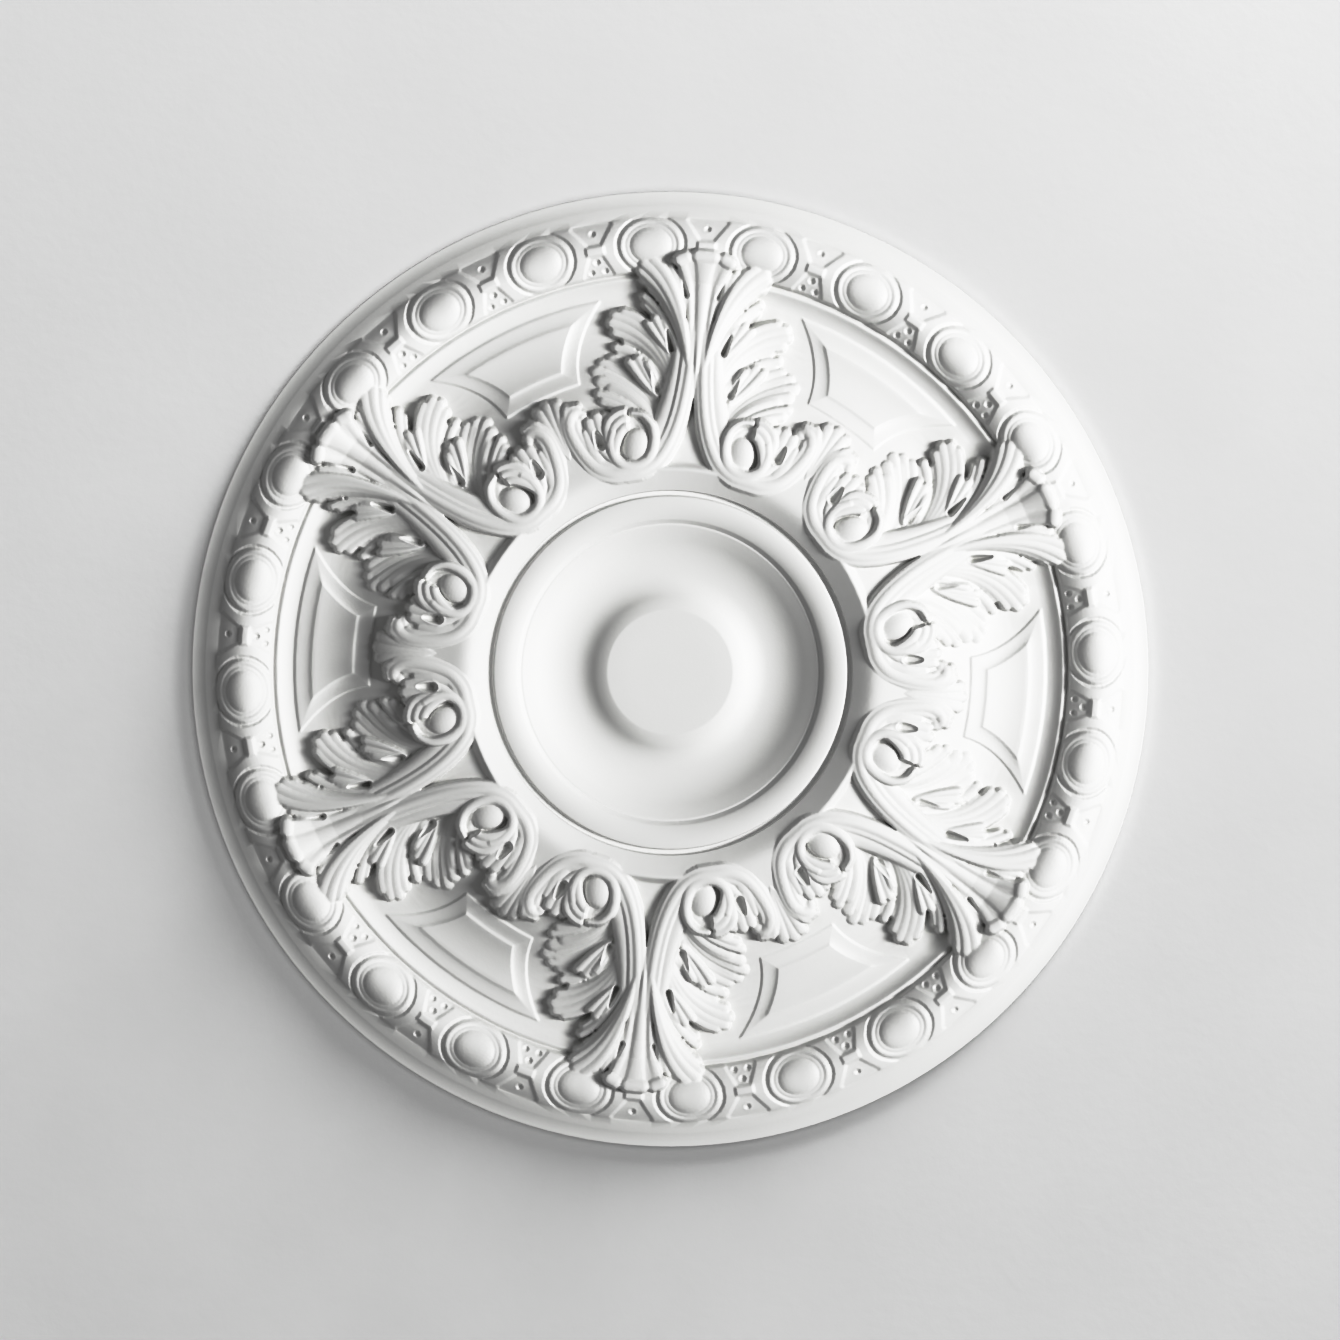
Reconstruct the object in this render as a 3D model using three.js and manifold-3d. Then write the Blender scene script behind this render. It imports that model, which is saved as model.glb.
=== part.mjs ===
// Ceiling rose moulded in one piece, in millimetres: back on z = 0, face up, one leaf along +Y.
import * as THREE from 'three';
import { mergeVertices } from 'three/addons/utils/BufferGeometryUtils.js';
import Module from 'manifold-3d';

const wasm = await Module();
wasm.setup();
const { Manifold, Mesh } = wasm;

// Counts that set the repeats
const LEAVES = 6;
const EGGS = 24;
const ROUND_SEGMENTS = 48;
const FACETS = 9900;

// Rim and egg band
const ROSE_RADIUS = 360;
const EDGE_Z = 8;
const RIM_INNER = 349;
const FILLET_Z = 14.4;
const FILLET_INNER = 346;
const BAND_OUTER = 340;
const BAND_INNER = 300;
const BAND_CREST = 320;
const BAND_Z = 27;
const BAND_EDGE_Z = 17.5;

// Broad hollow that carries the panels
const LIP_RADIUS = 295;
const LIP_Z = 15.5;
const COVE_FOOT = 283.5;
const GROUND_Z = 9;
const GROUND_INNER = 269;
const SLOPE_RADIUS = 235;
const SLOPE_Z = 17.7;
const HUMP_RADIUS = 158;
const HUMP_Z = 44;

// Plain mouldings round the centre
const RIDGE_RADIUS = 152.5;
const RIDGE_Z = 51.6;
const CONE_RADIUS = 137;
const CONE_Z = 42.6;
const GROOVE_Z = 37.5;
const RING_OUTER = 132.2;
const RING_OUTER_Z = 41;
const RING_INNER = 114.8;
const RING_INNER_Z = 38.6;
const DISH_RADIUS = 110.5;
const DISH_Z = 34.4;
const DISH_TURN_RADIUS = 100.5;
const DISH_TURN_Z = 28.4;
const DISH_LOW_RADIUS = 73;
const DISH_LOW_Z = 20.4;
const BOSS_FOOT_RADIUS = 58;
const BOSS_FOOT_Z = 25.4;
const BOSS_RADIUS = 47;
const BOSS_Z = 31;

// Egg, its collar and the dart between two eggs
const EGG_LONG = 16;
const EGG_SHORT = 13.6;
const EGG_RISE = 5.2;
const EGG_POINTS = 12;
const EGG_RINGS = [[0.7, 3.9], [1, 0.2], [1.14, 2], [1.62, -0.7]];
const EGG_MARGIN = 2.2;
const DART_RISE = 2.6;

// Raised panel between two leaves
const PANEL_INNER = 225.5;
const PANEL_OUTER = 283;
const PANEL_INNER_ANGLE = 7.8;
const PANEL_OUTER_ANGLE = 14.6;
const PANEL_WAIST = 6;
const PANEL_STEP = 1.8;
const PANEL_BORDER = 13;
const PANEL_RISE = 4.6;

// Buried depth that every raised feature is taken down to
const ROOT_Z = 4;

// Lobes of one half of a leaf: root and bend of the fingers, then the finger tips from top to bottom
const LOBES = [
  {
    root: [3, 228],
    bend: [10, 272],
    tips: [[23, 312], [44, 302.5], [44, 285], [38, 272]],
    lift: 8,
  },
  {
    root: [7, 196],
    bend: [15, 240],
    tips: [[30, 259], [62, 260], [59, 246], [54, 232]],
    lift: 9.5,
  },
  {
    root: [15, 166],
    bend: [22, 206],
    tips: [[38, 224], [71, 218], [67, 205], [60, 197]],
    lift: 9.5,
  },
];
const FINGER_GROOVE = 3.2;
const FINGER_SPREAD = 0.42;
const LEAF_HALF_ANGLE = 0.17;

// Tongue of the leaf: distance out, half width, height of its crest
const TONGUE = [
  [182, 3, 49],
  [218, 5, 43],
  [255, 6, 33],
  [290, 9, 30],
  [309, 13, 34.5],
  [317, 15.5, 31],
];
const TONGUE_EDGE = 3;

// Sweep from the leaf to the palmette, scroll and side leaves, with half widths and heights
const SWEEP = { width: 6.6, groove: 2, rise: 9.5, top: 53 };
const SCROLL = { x: 42, y: 171.5, from: 19.5, to: 11, start: 140, turn: 400, width: 3.9 };
const SCROLL_Z = [51, 54.5];
const BUTTON = { radius: 7, rise: 7, z: 44 };
const HOOK = { width: 5, z: [49, 45, 40] };
const LEAFLET = { width: 4.6, z: [50.5, 47.5, 43] };

// Palmette on the panel axis: one half of its finger tips, from the middle outwards
const PALMETTE_ROOT = 187;
const PALMETTE_TIPS = [[3.8, 221], [11.3, 216.5], [18.9, 209]];
const PALMETTE_Z = [46.5, 41, 33];

/** Points of an arc from a to b, without b; a positive dip hollows it, a negative one rounds it. */
function arc(a, b, dip, steps) {
  const chord = Math.hypot(b[0] - a[0], b[1] - a[1]);
  const radius = (chord * chord / 4 + dip * dip) / (2 * Math.abs(dip));
  const half = Math.asin(chord / 2 / radius);
  const along = [(b[0] - a[0]) / chord, (b[1] - a[1]) / chord];
  const side = [-along[1], along[0]];
  const points = [];
  for (let i = 0; i < steps; i += 1) {
    const angle = half * (2 * i / steps - 1);
    const run = radius * Math.sin(angle) + chord / 2;
    const sink = Math.sign(dip) * (radius * Math.cos(angle) - radius * Math.cos(half));
    points.push([a[0] + along[0] * run + side[0] * sink, a[1] + along[1] * run + side[1] * sink]);
  }
  return points;
}

/** Dip of an arc that starts level and ends at another height. */
function levelDip(run, rise) {
  const angle = 2 * Math.atan(rise / run);
  return run / Math.sin(angle) * (1 - Math.cos(angle / 2));
}

/** Outer face, from the rim in to the hump under the leaves, as radius and height. */
function outerProfile() {
  const slopeDip = levelDip(GROUND_INNER - SLOPE_RADIUS, SLOPE_Z - GROUND_Z);
  return [
    ...arc([ROSE_RADIUS, EDGE_Z], [RIM_INNER, FILLET_Z - 1], 0.6, 2),
    [RIM_INNER, FILLET_Z - 1],
    [FILLET_INNER, FILLET_Z],
    [BAND_OUTER + 1.3, BAND_EDGE_Z - 0.4],
    [BAND_INNER - 2.2, LIP_Z - 1],
    ...arc([LIP_RADIUS, LIP_Z], [COVE_FOOT, GROUND_Z], 1.4, 2),
    [COVE_FOOT, GROUND_Z],
    ...arc([GROUND_INNER, GROUND_Z], [SLOPE_RADIUS, SLOPE_Z], slopeDip, 3),
    ...arc([SLOPE_RADIUS, SLOPE_Z], [HUMP_RADIUS, HUMP_Z], -3.9, 3),
    [HUMP_RADIUS, HUMP_Z],
  ];
}

/** Inner face, from the ridge at the foot of the leaves in to the boss. */
function innerProfile() {
  const dishDip = levelDip(DISH_TURN_RADIUS - DISH_LOW_RADIUS, DISH_TURN_Z - DISH_LOW_Z);
  const footDip = levelDip(DISH_LOW_RADIUS - BOSS_FOOT_RADIUS, BOSS_FOOT_Z - DISH_LOW_Z);
  return [
    [RIDGE_RADIUS + 2, RIDGE_Z - 0.5],
    [RIDGE_RADIUS, RIDGE_Z],
    [CONE_RADIUS, CONE_Z],
    [CONE_RADIUS - 1, GROOVE_Z],
    [RING_OUTER + 1, GROOVE_Z],
    ...arc([RING_OUTER, RING_OUTER_Z], [RING_INNER, RING_INNER_Z], -1.7, 3),
    [RING_INNER, RING_INNER_Z],
    [DISH_RADIUS + 0.7, DISH_Z],
    [DISH_RADIUS, DISH_Z],
    ...arc([DISH_TURN_RADIUS, DISH_TURN_Z], [DISH_LOW_RADIUS, DISH_LOW_Z], dishDip, 3),
    ...arc([DISH_LOW_RADIUS, DISH_LOW_Z], [BOSS_FOOT_RADIUS, BOSS_FOOT_Z], footDip, 2),
    ...arc([BOSS_FOOT_RADIUS, BOSS_FOOT_Z], [BOSS_RADIUS, BOSS_Z], -0.6, 2),
    [BOSS_RADIUS, BOSS_Z],
  ];
}

const FACE = outerProfile();

/** Height of the plain outer face at a distance from the middle. */
function ground(radius) {
  if (radius > BAND_INNER && radius < BAND_OUTER) return bandRound(radius);
  for (let i = 1; i < FACE.length; i += 1) {
    const [outer, outerZ] = FACE[i - 1];
    const [inner, innerZ] = FACE[i];
    if (radius >= inner) {
      const part = outer === inner ? 0 : (outer - radius) / (outer - inner);
      return outerZ + (innerZ - outerZ) * Math.max(0, part);
    }
  }
  return HUMP_Z;
}

/** Point given on the panel axis, turned into the frame of the leaf to its left. */
function fromPanel(x, y) {
  const turn = Math.PI / LEAVES;
  return [x * Math.cos(turn) + y * Math.sin(turn), y * Math.cos(turn) - x * Math.sin(turn)];
}

/** Closed solid under a grid of points: the grid is its top, and its sides drop to the buried depth. */
function relief(rows) {
  const across = rows[0].length;
  const count = rows.length * across;
  const tops = rows.flat();
  const positions = [...tops, ...tops.map(([x, y]) => [x, y, ROOT_Z])].flat();
  const index = [];
  for (let i = 0; i + 1 < rows.length; i += 1) {
    for (let j = 0; j + 1 < across; j += 1) {
      const a = i * across + j;
      const [b, c, d] = [a + 1, a + across, a + across + 1];
      index.push(a, b, d, a, d, c);
      index.push(a + count, d + count, b + count, a + count, c + count, d + count);
    }
  }
  const edge = [];
  for (let j = 0; j < across; j += 1) edge.push(j);
  for (let i = 1; i < rows.length; i += 1) edge.push(i * across + across - 1);
  for (let j = across - 2; j >= 0; j -= 1) edge.push((rows.length - 1) * across + j);
  for (let i = rows.length - 2; i > 0; i -= 1) edge.push(i * across);
  edge.forEach((u, k) => {
    const v = edge[(k + 1) % edge.length];
    index.push(v, u, u + count, v, u + count, v + count);
  });
  const geometry = new THREE.BufferGeometry();
  geometry.setAttribute('position', new THREE.Float32BufferAttribute(positions, 3));
  geometry.setIndex(index);
  return geometry;
}

/** Swept band along a plane curve; its section gives offsets in half widths and drops from the crest. */
function band(curve, steps, halfWidth, crest, section) {
  const rows = [];
  for (let i = 0; i <= steps; i += 1) {
    const t = i / steps;
    const at = curve.getPoint(t);
    const along = curve.getTangent(t);
    const width = halfWidth(t);
    rows.push(section.map(([side, drop]) => [
      at.x - along.y * side * width,
      at.y + along.x * side * width,
      crest(t) - drop,
    ]));
  }
  return relief(rows);
}

/** Quadratic between three values. */
function blend(values, t) {
  const [a, b, c] = values;
  return a * (1 - t) * (1 - t) + 2 * b * t * (1 - t) + c * t * t;
}

/** Fan of grooved fingers: each finger bends from the root to its own tip. */
function fan(root, bends, tips, heights, groove) {
  const fingers = tips.map((tip, k) => new THREE.QuadraticBezierCurve(
    new THREE.Vector2(...root),
    new THREE.Vector2(...bends[k]),
    new THREE.Vector2(...tip),
  ));
  const rows = [0.08, 0.6, 1].map((t) => {
    const crests = fingers.map((finger) => finger.getPoint(t));
    const valleys = fingers.map((finger) => finger.getPoint(t === 1 ? 0.86 : t));
    const row = [];
    crests.forEach((crest, k) => {
      const z = blend(heights[k], t);
      if (k === 0) {
        const out = valleys[0].clone().sub(valleys[1]).multiplyScalar(0.5).add(valleys[0]);
        row.push([out.x, out.y, z - groove]);
      }
      row.push([crest.x, crest.y, z]);
      const next = valleys[k + 1];
      const low = next
        ? valleys[k].clone().add(next).multiplyScalar(0.5)
        : valleys[k].clone().sub(valleys[k - 1]).multiplyScalar(0.5).add(valleys[k]);
      row.push([low.x, low.y, z - groove]);
    });
    return row;
  });
  return relief(rows);
}

/** Height of the leaf's crest line at a distance out. */
function tongueCrest(y) {
  const past = TONGUE.findIndex((row) => row[0] >= y);
  if (past <= 0) return TONGUE[past === 0 ? 0 : TONGUE.length - 1][2];
  const [a, b] = [TONGUE[past - 1], TONGUE[past]];
  return a[2] + (b[2] - a[2]) * (y - a[0]) / (b[0] - a[0]);
}

/** Three-lobed side of a leaf. */
function lobe({ root, bend, tips, lift }) {
  const start = tongueCrest(root[1]) - 1;
  const heights = tips.map((tip) => {
    const end = ground(Math.hypot(...tip)) + lift;
    return [start, Math.max(start, end) + 1, end];
  });
  const middle = [0, 1].map((k) => tips.reduce((sum, tip) => sum + tip[k] / tips.length, 0));
  const bends = tips.map((tip) => bend.map((at, k) => at + FINGER_SPREAD * (tip[k] - middle[k])));
  return fan(root, bends, tips, heights, FINGER_GROOVE);
}

/** Fluted tongue down the middle of a leaf. */
function tongue() {
  return relief(TONGUE.map(([y, width, z]) => [
    [-width, y, z - TONGUE_EDGE],
    [-width * 0.45, y, z],
    [width * 0.45, y, z],
    [width, y, z - TONGUE_EDGE],
  ]));
}

/** Double-ribbed sweep from the foot of the leaf round to the palmette. */
function sweep() {
  const foot = [[4, 208], [11, 180], [23, 156.5], [40, 147.5], [58, 147]];
  const path = [...foot, fromPanel(-12, 178), fromPanel(-8, 199)];
  const curve = new THREE.SplineCurve(path.map((at) => new THREE.Vector2(...at)));
  const crest = (t) => {
    const at = curve.getPoint(t);
    return Math.min(SWEEP.top, ground(Math.max(HUMP_RADIUS, at.length())) + SWEEP.rise);
  };
  return band(curve, 7, () => SWEEP.width, crest, [[-1, SWEEP.groove], [0, 0], [1, SWEEP.groove]]);
}

/** Scroll that winds inwards and upwards. */
function scroll() {
  const steps = 10;
  const points = [];
  for (let i = 0; i <= steps; i += 1) {
    const t = i / steps;
    const angle = THREE.MathUtils.degToRad(SCROLL.start + SCROLL.turn * t);
    const radius = SCROLL.from + (SCROLL.to - SCROLL.from) * t;
    const spoke = new THREE.Vector2(Math.cos(angle), Math.sin(angle));
    points.push(spoke.multiplyScalar(radius).add(new THREE.Vector2(SCROLL.x, SCROLL.y)));
  }
  const crest = (t) => SCROLL_Z[0] + (SCROLL_Z[1] - SCROLL_Z[0]) * t;
  const width = (t) => SCROLL.width * (1 - 0.35 * t);
  return band(new THREE.SplineCurve(points), 10, width, crest, [[-1, 1], [0, 0], [1, 1]]);
}

/** Round button in the eye of the scroll. */
function button() {
  const { radius, rise, z } = BUTTON;
  const side = [[0, ROOT_Z], [radius, ROOT_Z], [radius, z]];
  const top = [[radius * 0.7, z + rise * 0.75], [0, z + rise]];
  return turned([...side, ...top], 8).translate(SCROLL.x, SCROLL.y, 0);
}

/** Plain leaflet between two points of the panel frame. */
function leaflet(path, { width, z }) {
  const curve = new THREE.SplineCurve(path.map(([x, y]) => new THREE.Vector2(...fromPanel(x, y))));
  const halfWidth = (t) => width * (1.1 - 0.7 * t * t);
  return band(curve, 2, halfWidth, (t) => blend(z, t), [[-1, 2.4], [0, 0], [1, 2.4]]);
}

/** Palmette on the panel axis, built on the leaf axis and turned later. */
function palmette() {
  const right = [...PALMETTE_TIPS].reverse();
  const tips = [...right.map(([x, y]) => [-x, y]), ...PALMETTE_TIPS];
  const bends = tips.map(([x, y]) => [x * 0.75, y - 18]);
  return fan([0, PALMETTE_ROOT], bends, tips, tips.map(() => PALMETTE_Z), 2.4);
}

/** Solid of revolution about +Z. */
function turned(profile, segments) {
  const points = profile.map(([r, z]) => new THREE.Vector2(r, z));
  return new THREE.LatheGeometry(points, segments).rotateX(Math.PI / 2);
}

/** Height of the round of the egg band at a distance from the middle. */
function bandRound(radius) {
  const fall = (BAND_Z - BAND_EDGE_Z) / (BAND_OUTER - BAND_CREST) ** 2;
  return BAND_Z - fall * (radius - BAND_CREST) ** 2;
}

/** Border of one egg's share of the band, from the right hand round: angle in half shares, radius. */
function eggBorder() {
  const upper = (BAND_CREST + BAND_OUTER) / 2;
  const lower = (BAND_CREST + BAND_INNER) / 2;
  const right = [[1, lower], [1, BAND_CREST], [1, upper], [1, BAND_OUTER], [0, BAND_OUTER]];
  const left = [[-1, BAND_OUTER], [-1, upper], [-1, BAND_CREST], [-1, lower], [-1, BAND_INNER]];
  return [...right.slice(1), ...left, [0, BAND_INNER], [1, BAND_INNER], right[0]];
}

/** Ring of eggs in their collars with raised darts between them, as one closed solid. */
function eggBand() {
  const share = Math.PI / EGGS;
  const positions = [];
  const index = [];
  const point = (angle, radius, z) => {
    const count = positions.push(radius * Math.sin(angle), radius * Math.cos(angle), z);
    return count / 3 - 1;
  };
  const strip = (one, two) => one.forEach((a, k) => {
    const next = (k + 1) % one.length;
    index.push(a, two[k], two[next], a, two[next], one[next]);
  });
  for (let k = 0; k < EGGS; k += 1) {
    const middle = share * (2 * k + 1);
    const top = point(middle, BAND_CREST, BAND_Z + EGG_RISE);
    let last = null;
    EGG_RINGS.forEach(([size, rise]) => {
      const ring = [];
      for (let j = 0; j < EGG_POINTS; j += 1) {
        const turn = 2 * Math.PI * j / EGG_POINTS;
        const wanted = BAND_CREST + size * EGG_SHORT * Math.sin(turn);
        const radius = THREE.MathUtils.clamp(wanted, BAND_INNER + EGG_MARGIN, BAND_OUTER - EGG_MARGIN);
        const angle = middle + size * EGG_LONG * Math.cos(turn) / BAND_CREST;
        ring.push(point(angle, radius, bandRound(radius) + rise));
      }
      if (last) strip(last, ring);
      else ring.forEach((a, j) => index.push(top, a, ring[(j + 1) % EGG_POINTS]));
      last = ring;
    });
    const border = eggBorder();
    const edge = border.map(([side, radius]) => {
      const rise = side === 0 ? 0 : DART_RISE;
      return point(middle + side * share, radius, bandRound(radius) + rise);
    });
    strip(last, edge);
    const foot = border.map(([side, radius]) => point(middle + side * share, radius, ROOT_Z));
    border.forEach(([, radius], j) => {
      const next = (j + 1) % border.length;
      if (radius === border[next][1] && radius !== BAND_CREST) {
        index.push(edge[j], foot[j], foot[next], edge[j], foot[next], edge[next]);
      }
    });
    const base = point(middle, BAND_CREST, ROOT_Z);
    foot.forEach((a, j) => index.push(base, foot[(j + 1) % foot.length], a));
  }
  const geometry = new THREE.BufferGeometry();
  geometry.setAttribute('position', new THREE.Float32BufferAttribute(positions, 3));
  geometry.setIndex(index);
  return geometry;
}

/** One level of the panel: an annular trapezium with hollow sides, laid on the ground. */
function panelLevel(inset, rise) {
  const inner = PANEL_INNER + inset;
  const outer = PANEL_OUTER - inset;
  const rows = [];
  const steps = 3;
  for (let i = 0; i <= steps; i += 1) {
    const t = i / steps;
    const radius = inner + (outer - inner) * t;
    const part = (radius - PANEL_INNER) / (PANEL_OUTER - PANEL_INNER);
    const degrees = PANEL_INNER_ANGLE + (PANEL_OUTER_ANGLE - PANEL_INNER_ANGLE) * part;
    const angle = THREE.MathUtils.degToRad(degrees);
    const half = angle - (PANEL_WAIST * 4 * part * (1 - part) + inset) / radius;
    rows.push([-1, -0.34, 0.34, 1].map((side) => [
      radius * Math.sin(half * side),
      radius * Math.cos(half * side),
      ground(radius) + rise,
    ]));
  }
  return relief(rows);
}

/** Solid of a geometry, with its faces turned outwards. */
function solid(geometry, matrix) {
  const bare = new THREE.BufferGeometry();
  bare.setAttribute('position', geometry.getAttribute('position').clone());
  bare.setIndex(geometry.index.clone());
  const merged = mergeVertices(bare.applyMatrix4(matrix), 1e-3);
  const at = merged.getAttribute('position');
  const corner = [new THREE.Vector3(), new THREE.Vector3(), new THREE.Vector3()];
  const kept = [];
  let volume = 0;
  for (let i = 0; i < merged.index.count; i += 3) {
    const ids = [0, 1, 2].map((k) => merged.index.getX(i + k));
    if (ids[0] === ids[1] || ids[1] === ids[2] || ids[2] === ids[0]) continue;
    ids.forEach((id, k) => corner[k].fromBufferAttribute(at, id));
    volume += corner[0].dot(corner[1].clone().cross(corner[2]));
    kept.push(ids);
  }
  const faces = volume < 0 ? kept.map(([a, b, c]) => [a, c, b]) : kept;
  return new Manifold(new Mesh({
    numProp: 3,
    vertProperties: new Float32Array(at.array),
    triVerts: new Uint32Array(faces.flat()),
  }));
}

/** Copies of a geometry turned round the middle. */
function around(geometry, count, offset = 0) {
  return Array.from({ length: count }, (_, k) => {
    const turn = -(offset + k * 360 / count);
    return solid(geometry, new THREE.Matrix4().makeRotationZ(THREE.MathUtils.degToRad(turn)));
  });
}

/** Both hands of a half-leaf feature, turned to every leaf. */
function bothHands(geometry) {
  const mirrored = geometry.clone().scale(-1, 1, 1);
  return [...around(geometry, LEAVES), ...around(mirrored, LEAVES)];
}

/** Priority queue of possible merges, cheapest first. */
class Queue {
  items = [];

  push(item) {
    const { items } = this;
    let at = items.push(item) - 1;
    while (at > 0) {
      const above = (at - 1) >> 1;
      if (items[above].cost <= items[at].cost) break;
      [items[above], items[at]] = [items[at], items[above]];
      at = above;
    }
  }

  pop() {
    const { items } = this;
    const top = items[0];
    const last = items.pop();
    if (items.length > 0) {
      items[0] = last;
      let at = 0;
      for (;;) {
        const [left, right] = [2 * at + 1, 2 * at + 2];
        let least = at;
        if (left < items.length && items[left].cost < items[least].cost) least = left;
        if (right < items.length && items[right].cost < items[least].cost) least = right;
        if (least === at) break;
        [items[least], items[at]] = [items[at], items[least]];
        at = least;
      }
    }
    return top;
  }
}

/** Normal of a facet, as long as twice its area. */
function facing(a, b, c) {
  return b.clone().sub(a).cross(c.clone().sub(a));
}

/** Faces left when the vertices that change the form least are merged into a neighbour. */
function thin(points, faces, target) {
  const around = points.map(() => new Set());
  const planes = points.map(() => []);
  const version = points.map(() => 0);
  const fixed = points.map((p) => {
    const radius = Math.hypot(p.x, p.y);
    const turn = Math.abs(Math.asin(Math.sin(LEAVES / 2 * Math.atan2(p.x, p.y)))) * 2 / LEAVES;
    const underLeaf = radius < BAND_CREST && turn < LEAF_HALF_ANGLE;
    return radius < CONE_RADIUS + 1 || p.z < 0.01 || (radius > BAND_INNER - 3 && !underLeaf);
  });
  faces.forEach((face, f) => {
    const normal = facing(...face.map((v) => points[v]));
    const area = normal.length() / 2;
    normal.normalize();
    face.forEach((v) => {
      around[v].add(f);
      planes[v].push({ normal, level: normal.dot(points[face[0]]), area });
    });
  });
  const queue = new Queue();
  const neighbours = (v) => new Set([...around[v]].flatMap((f) => faces[f]).filter((u) => u !== v));
  const offer = (from, to) => {
    if (fixed[from]) return;
    const error = (sum, { normal, level, area }) => sum + area * (normal.dot(points[to]) - level) ** 2;
    const cost = planes[from].reduce(error, 0) + 1e-6 * points[from].distanceTo(points[to]);
    queue.push({ cost, from, to, stamp: version[from] + version[to] });
  };
  points.forEach((_, v) => neighbours(v).forEach((u) => offer(v, u)));
  const stays = (from, to) => [...around[from]].filter((f) => !faces[f].includes(to)).every((f) => {
    const before = facing(...faces[f].map((v) => points[v]));
    const after = facing(...faces[f].map((v) => points[v === from ? to : v]));
    const longest = Math.max(...faces[f].map((v) => points[v === from ? to : v].distanceTo(points[to])));
    return after.length() > 0.25 * longest && before.dot(after) > 0.3 * before.length() * after.length();
  });
  let left = faces.length;
  while (left > target && queue.items.length > 0) {
    const { from, to, stamp } = queue.pop();
    if (!around[from].size || !around[to].size || stamp !== version[from] + version[to]) continue;
    const near = neighbours(from);
    const shared = [...neighbours(to)].filter((v) => near.has(v));
    if (!near.has(to) || shared.length !== 2 || !stays(from, to)) continue;
    [...around[from]].forEach((f) => {
      if (faces[f].includes(to)) {
        faces[f].forEach((v) => around[v].delete(f));
        left -= 1;
      } else {
        faces[f] = faces[f].map((v) => (v === from ? to : v));
        around[to].add(f);
      }
    });
    around[from].clear();
    planes[to].push(...planes[from]);
    version[to] += 1;
    neighbours(to).forEach((v) => {
      offer(v, to);
      offer(to, v);
    });
  }
  return faces.filter((face, f) => around[face[0]].has(f));
}

const half = 180 / LEAVES;
const body = turned([[0, 0], [ROSE_RADIUS, 0], ...FACE, ...innerProfile(), [0, BOSS_Z]], ROUND_SEGMENTS);
const pieces = [
  solid(body, new THREE.Matrix4()),
  solid(eggBand(), new THREE.Matrix4()),
  ...around(panelLevel(0, PANEL_STEP), LEAVES, half),
  ...around(panelLevel(PANEL_BORDER, PANEL_RISE), LEAVES, half),
  ...around(tongue(), LEAVES),
  ...LOBES.flatMap((shape) => bothHands(lobe(shape))),
  ...bothHands(sweep()),
  ...bothHands(scroll()),
  ...bothHands(button()),
  ...bothHands(leaflet([[-14, 172], [-16, 190], [-24, 204]], HOOK)),
  ...bothHands(leaflet([[-33, 172], [-32, 186], [-31, 197]], LEAFLET)),
  ...around(palmette(), LEAVES, half),
];

const joined = Manifold.union(pieces).getMesh();
const points = [];
for (let i = 0; i < joined.numVert; i += 1) {
  points.push(new THREE.Vector3().fromArray(joined.vertProperties, i * joined.numProp));
}
const faces = [];
for (let i = 0; i < joined.numTri; i += 1) faces.push([...joined.triVerts.slice(i * 3, i * 3 + 3)]);
const surface = new THREE.BufferGeometry();
surface.setFromPoints(points);
surface.setIndex(thin(points, faces, FACETS).flat());
surface.computeVertexNormals();

const primed = new THREE.MeshStandardMaterial({ color: 0xf2f2f0, roughness: 0.75, metalness: 0 });
const rose = new THREE.Mesh(surface, primed);
rose.name = 'ceiling_rose';

const part = new THREE.Group();
part.add(rose);
export default part;
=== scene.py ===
"""Ceiling rose moulded in white-primed polyurethane, lying face up on a pale plaster surface.

One twelfth of the relief is carved as a height field, thinned, then mirrored and repeated round the middle.
Lengths in the classes are millimetres; meshes are written in metres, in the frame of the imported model.
"""

import logging
import math
from collections.abc import Callable
from dataclasses import dataclass
from enum import Enum

import bmesh
import bpy
import numpy as np
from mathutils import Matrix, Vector

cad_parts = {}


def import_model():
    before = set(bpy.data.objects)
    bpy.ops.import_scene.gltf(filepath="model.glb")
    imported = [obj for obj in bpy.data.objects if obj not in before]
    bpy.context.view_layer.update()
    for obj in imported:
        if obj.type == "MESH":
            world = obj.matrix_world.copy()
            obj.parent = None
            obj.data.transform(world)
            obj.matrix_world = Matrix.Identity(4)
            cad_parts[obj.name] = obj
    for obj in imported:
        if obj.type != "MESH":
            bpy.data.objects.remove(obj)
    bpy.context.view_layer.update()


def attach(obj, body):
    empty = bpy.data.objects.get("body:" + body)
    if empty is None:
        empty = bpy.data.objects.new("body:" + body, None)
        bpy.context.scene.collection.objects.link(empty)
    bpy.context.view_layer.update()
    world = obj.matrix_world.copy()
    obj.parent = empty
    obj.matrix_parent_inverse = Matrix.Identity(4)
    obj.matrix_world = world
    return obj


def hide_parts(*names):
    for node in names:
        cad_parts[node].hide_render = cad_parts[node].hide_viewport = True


LOG = logging.getLogger("ceiling_rose")
MM = 0.001
TINY = 1e-6
Flat = tuple[float, float]
Solid = tuple[float, float, float]
# Half width of a rib at its start, in its middle and at its end.
Widths = tuple[float, float, float]
# Function that turns a point of an ornament's own frame into the frame of the leaf.
Place = Callable[[float, float, float], Solid]
# Corners of a profile flatter than this stay as they are, and a rounding takes up this share of a short side.
FLAT_CORNER = math.radians(165.0)
ROUNDED_SHARE = 0.45
# Places read from a grid are kept this far from its size, just inside its last cell.
LAST_CELL = 1.001


class Symmetry(Enum):
    """Repeats that fix the pattern of the rose."""

    LEAVES = 6
    EGGS = 24


HALF_SECTOR = math.pi / Symmetry.LEAVES.value
EGG_PITCH = 2.0 * math.pi / Symmetry.EGGS.value


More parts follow.
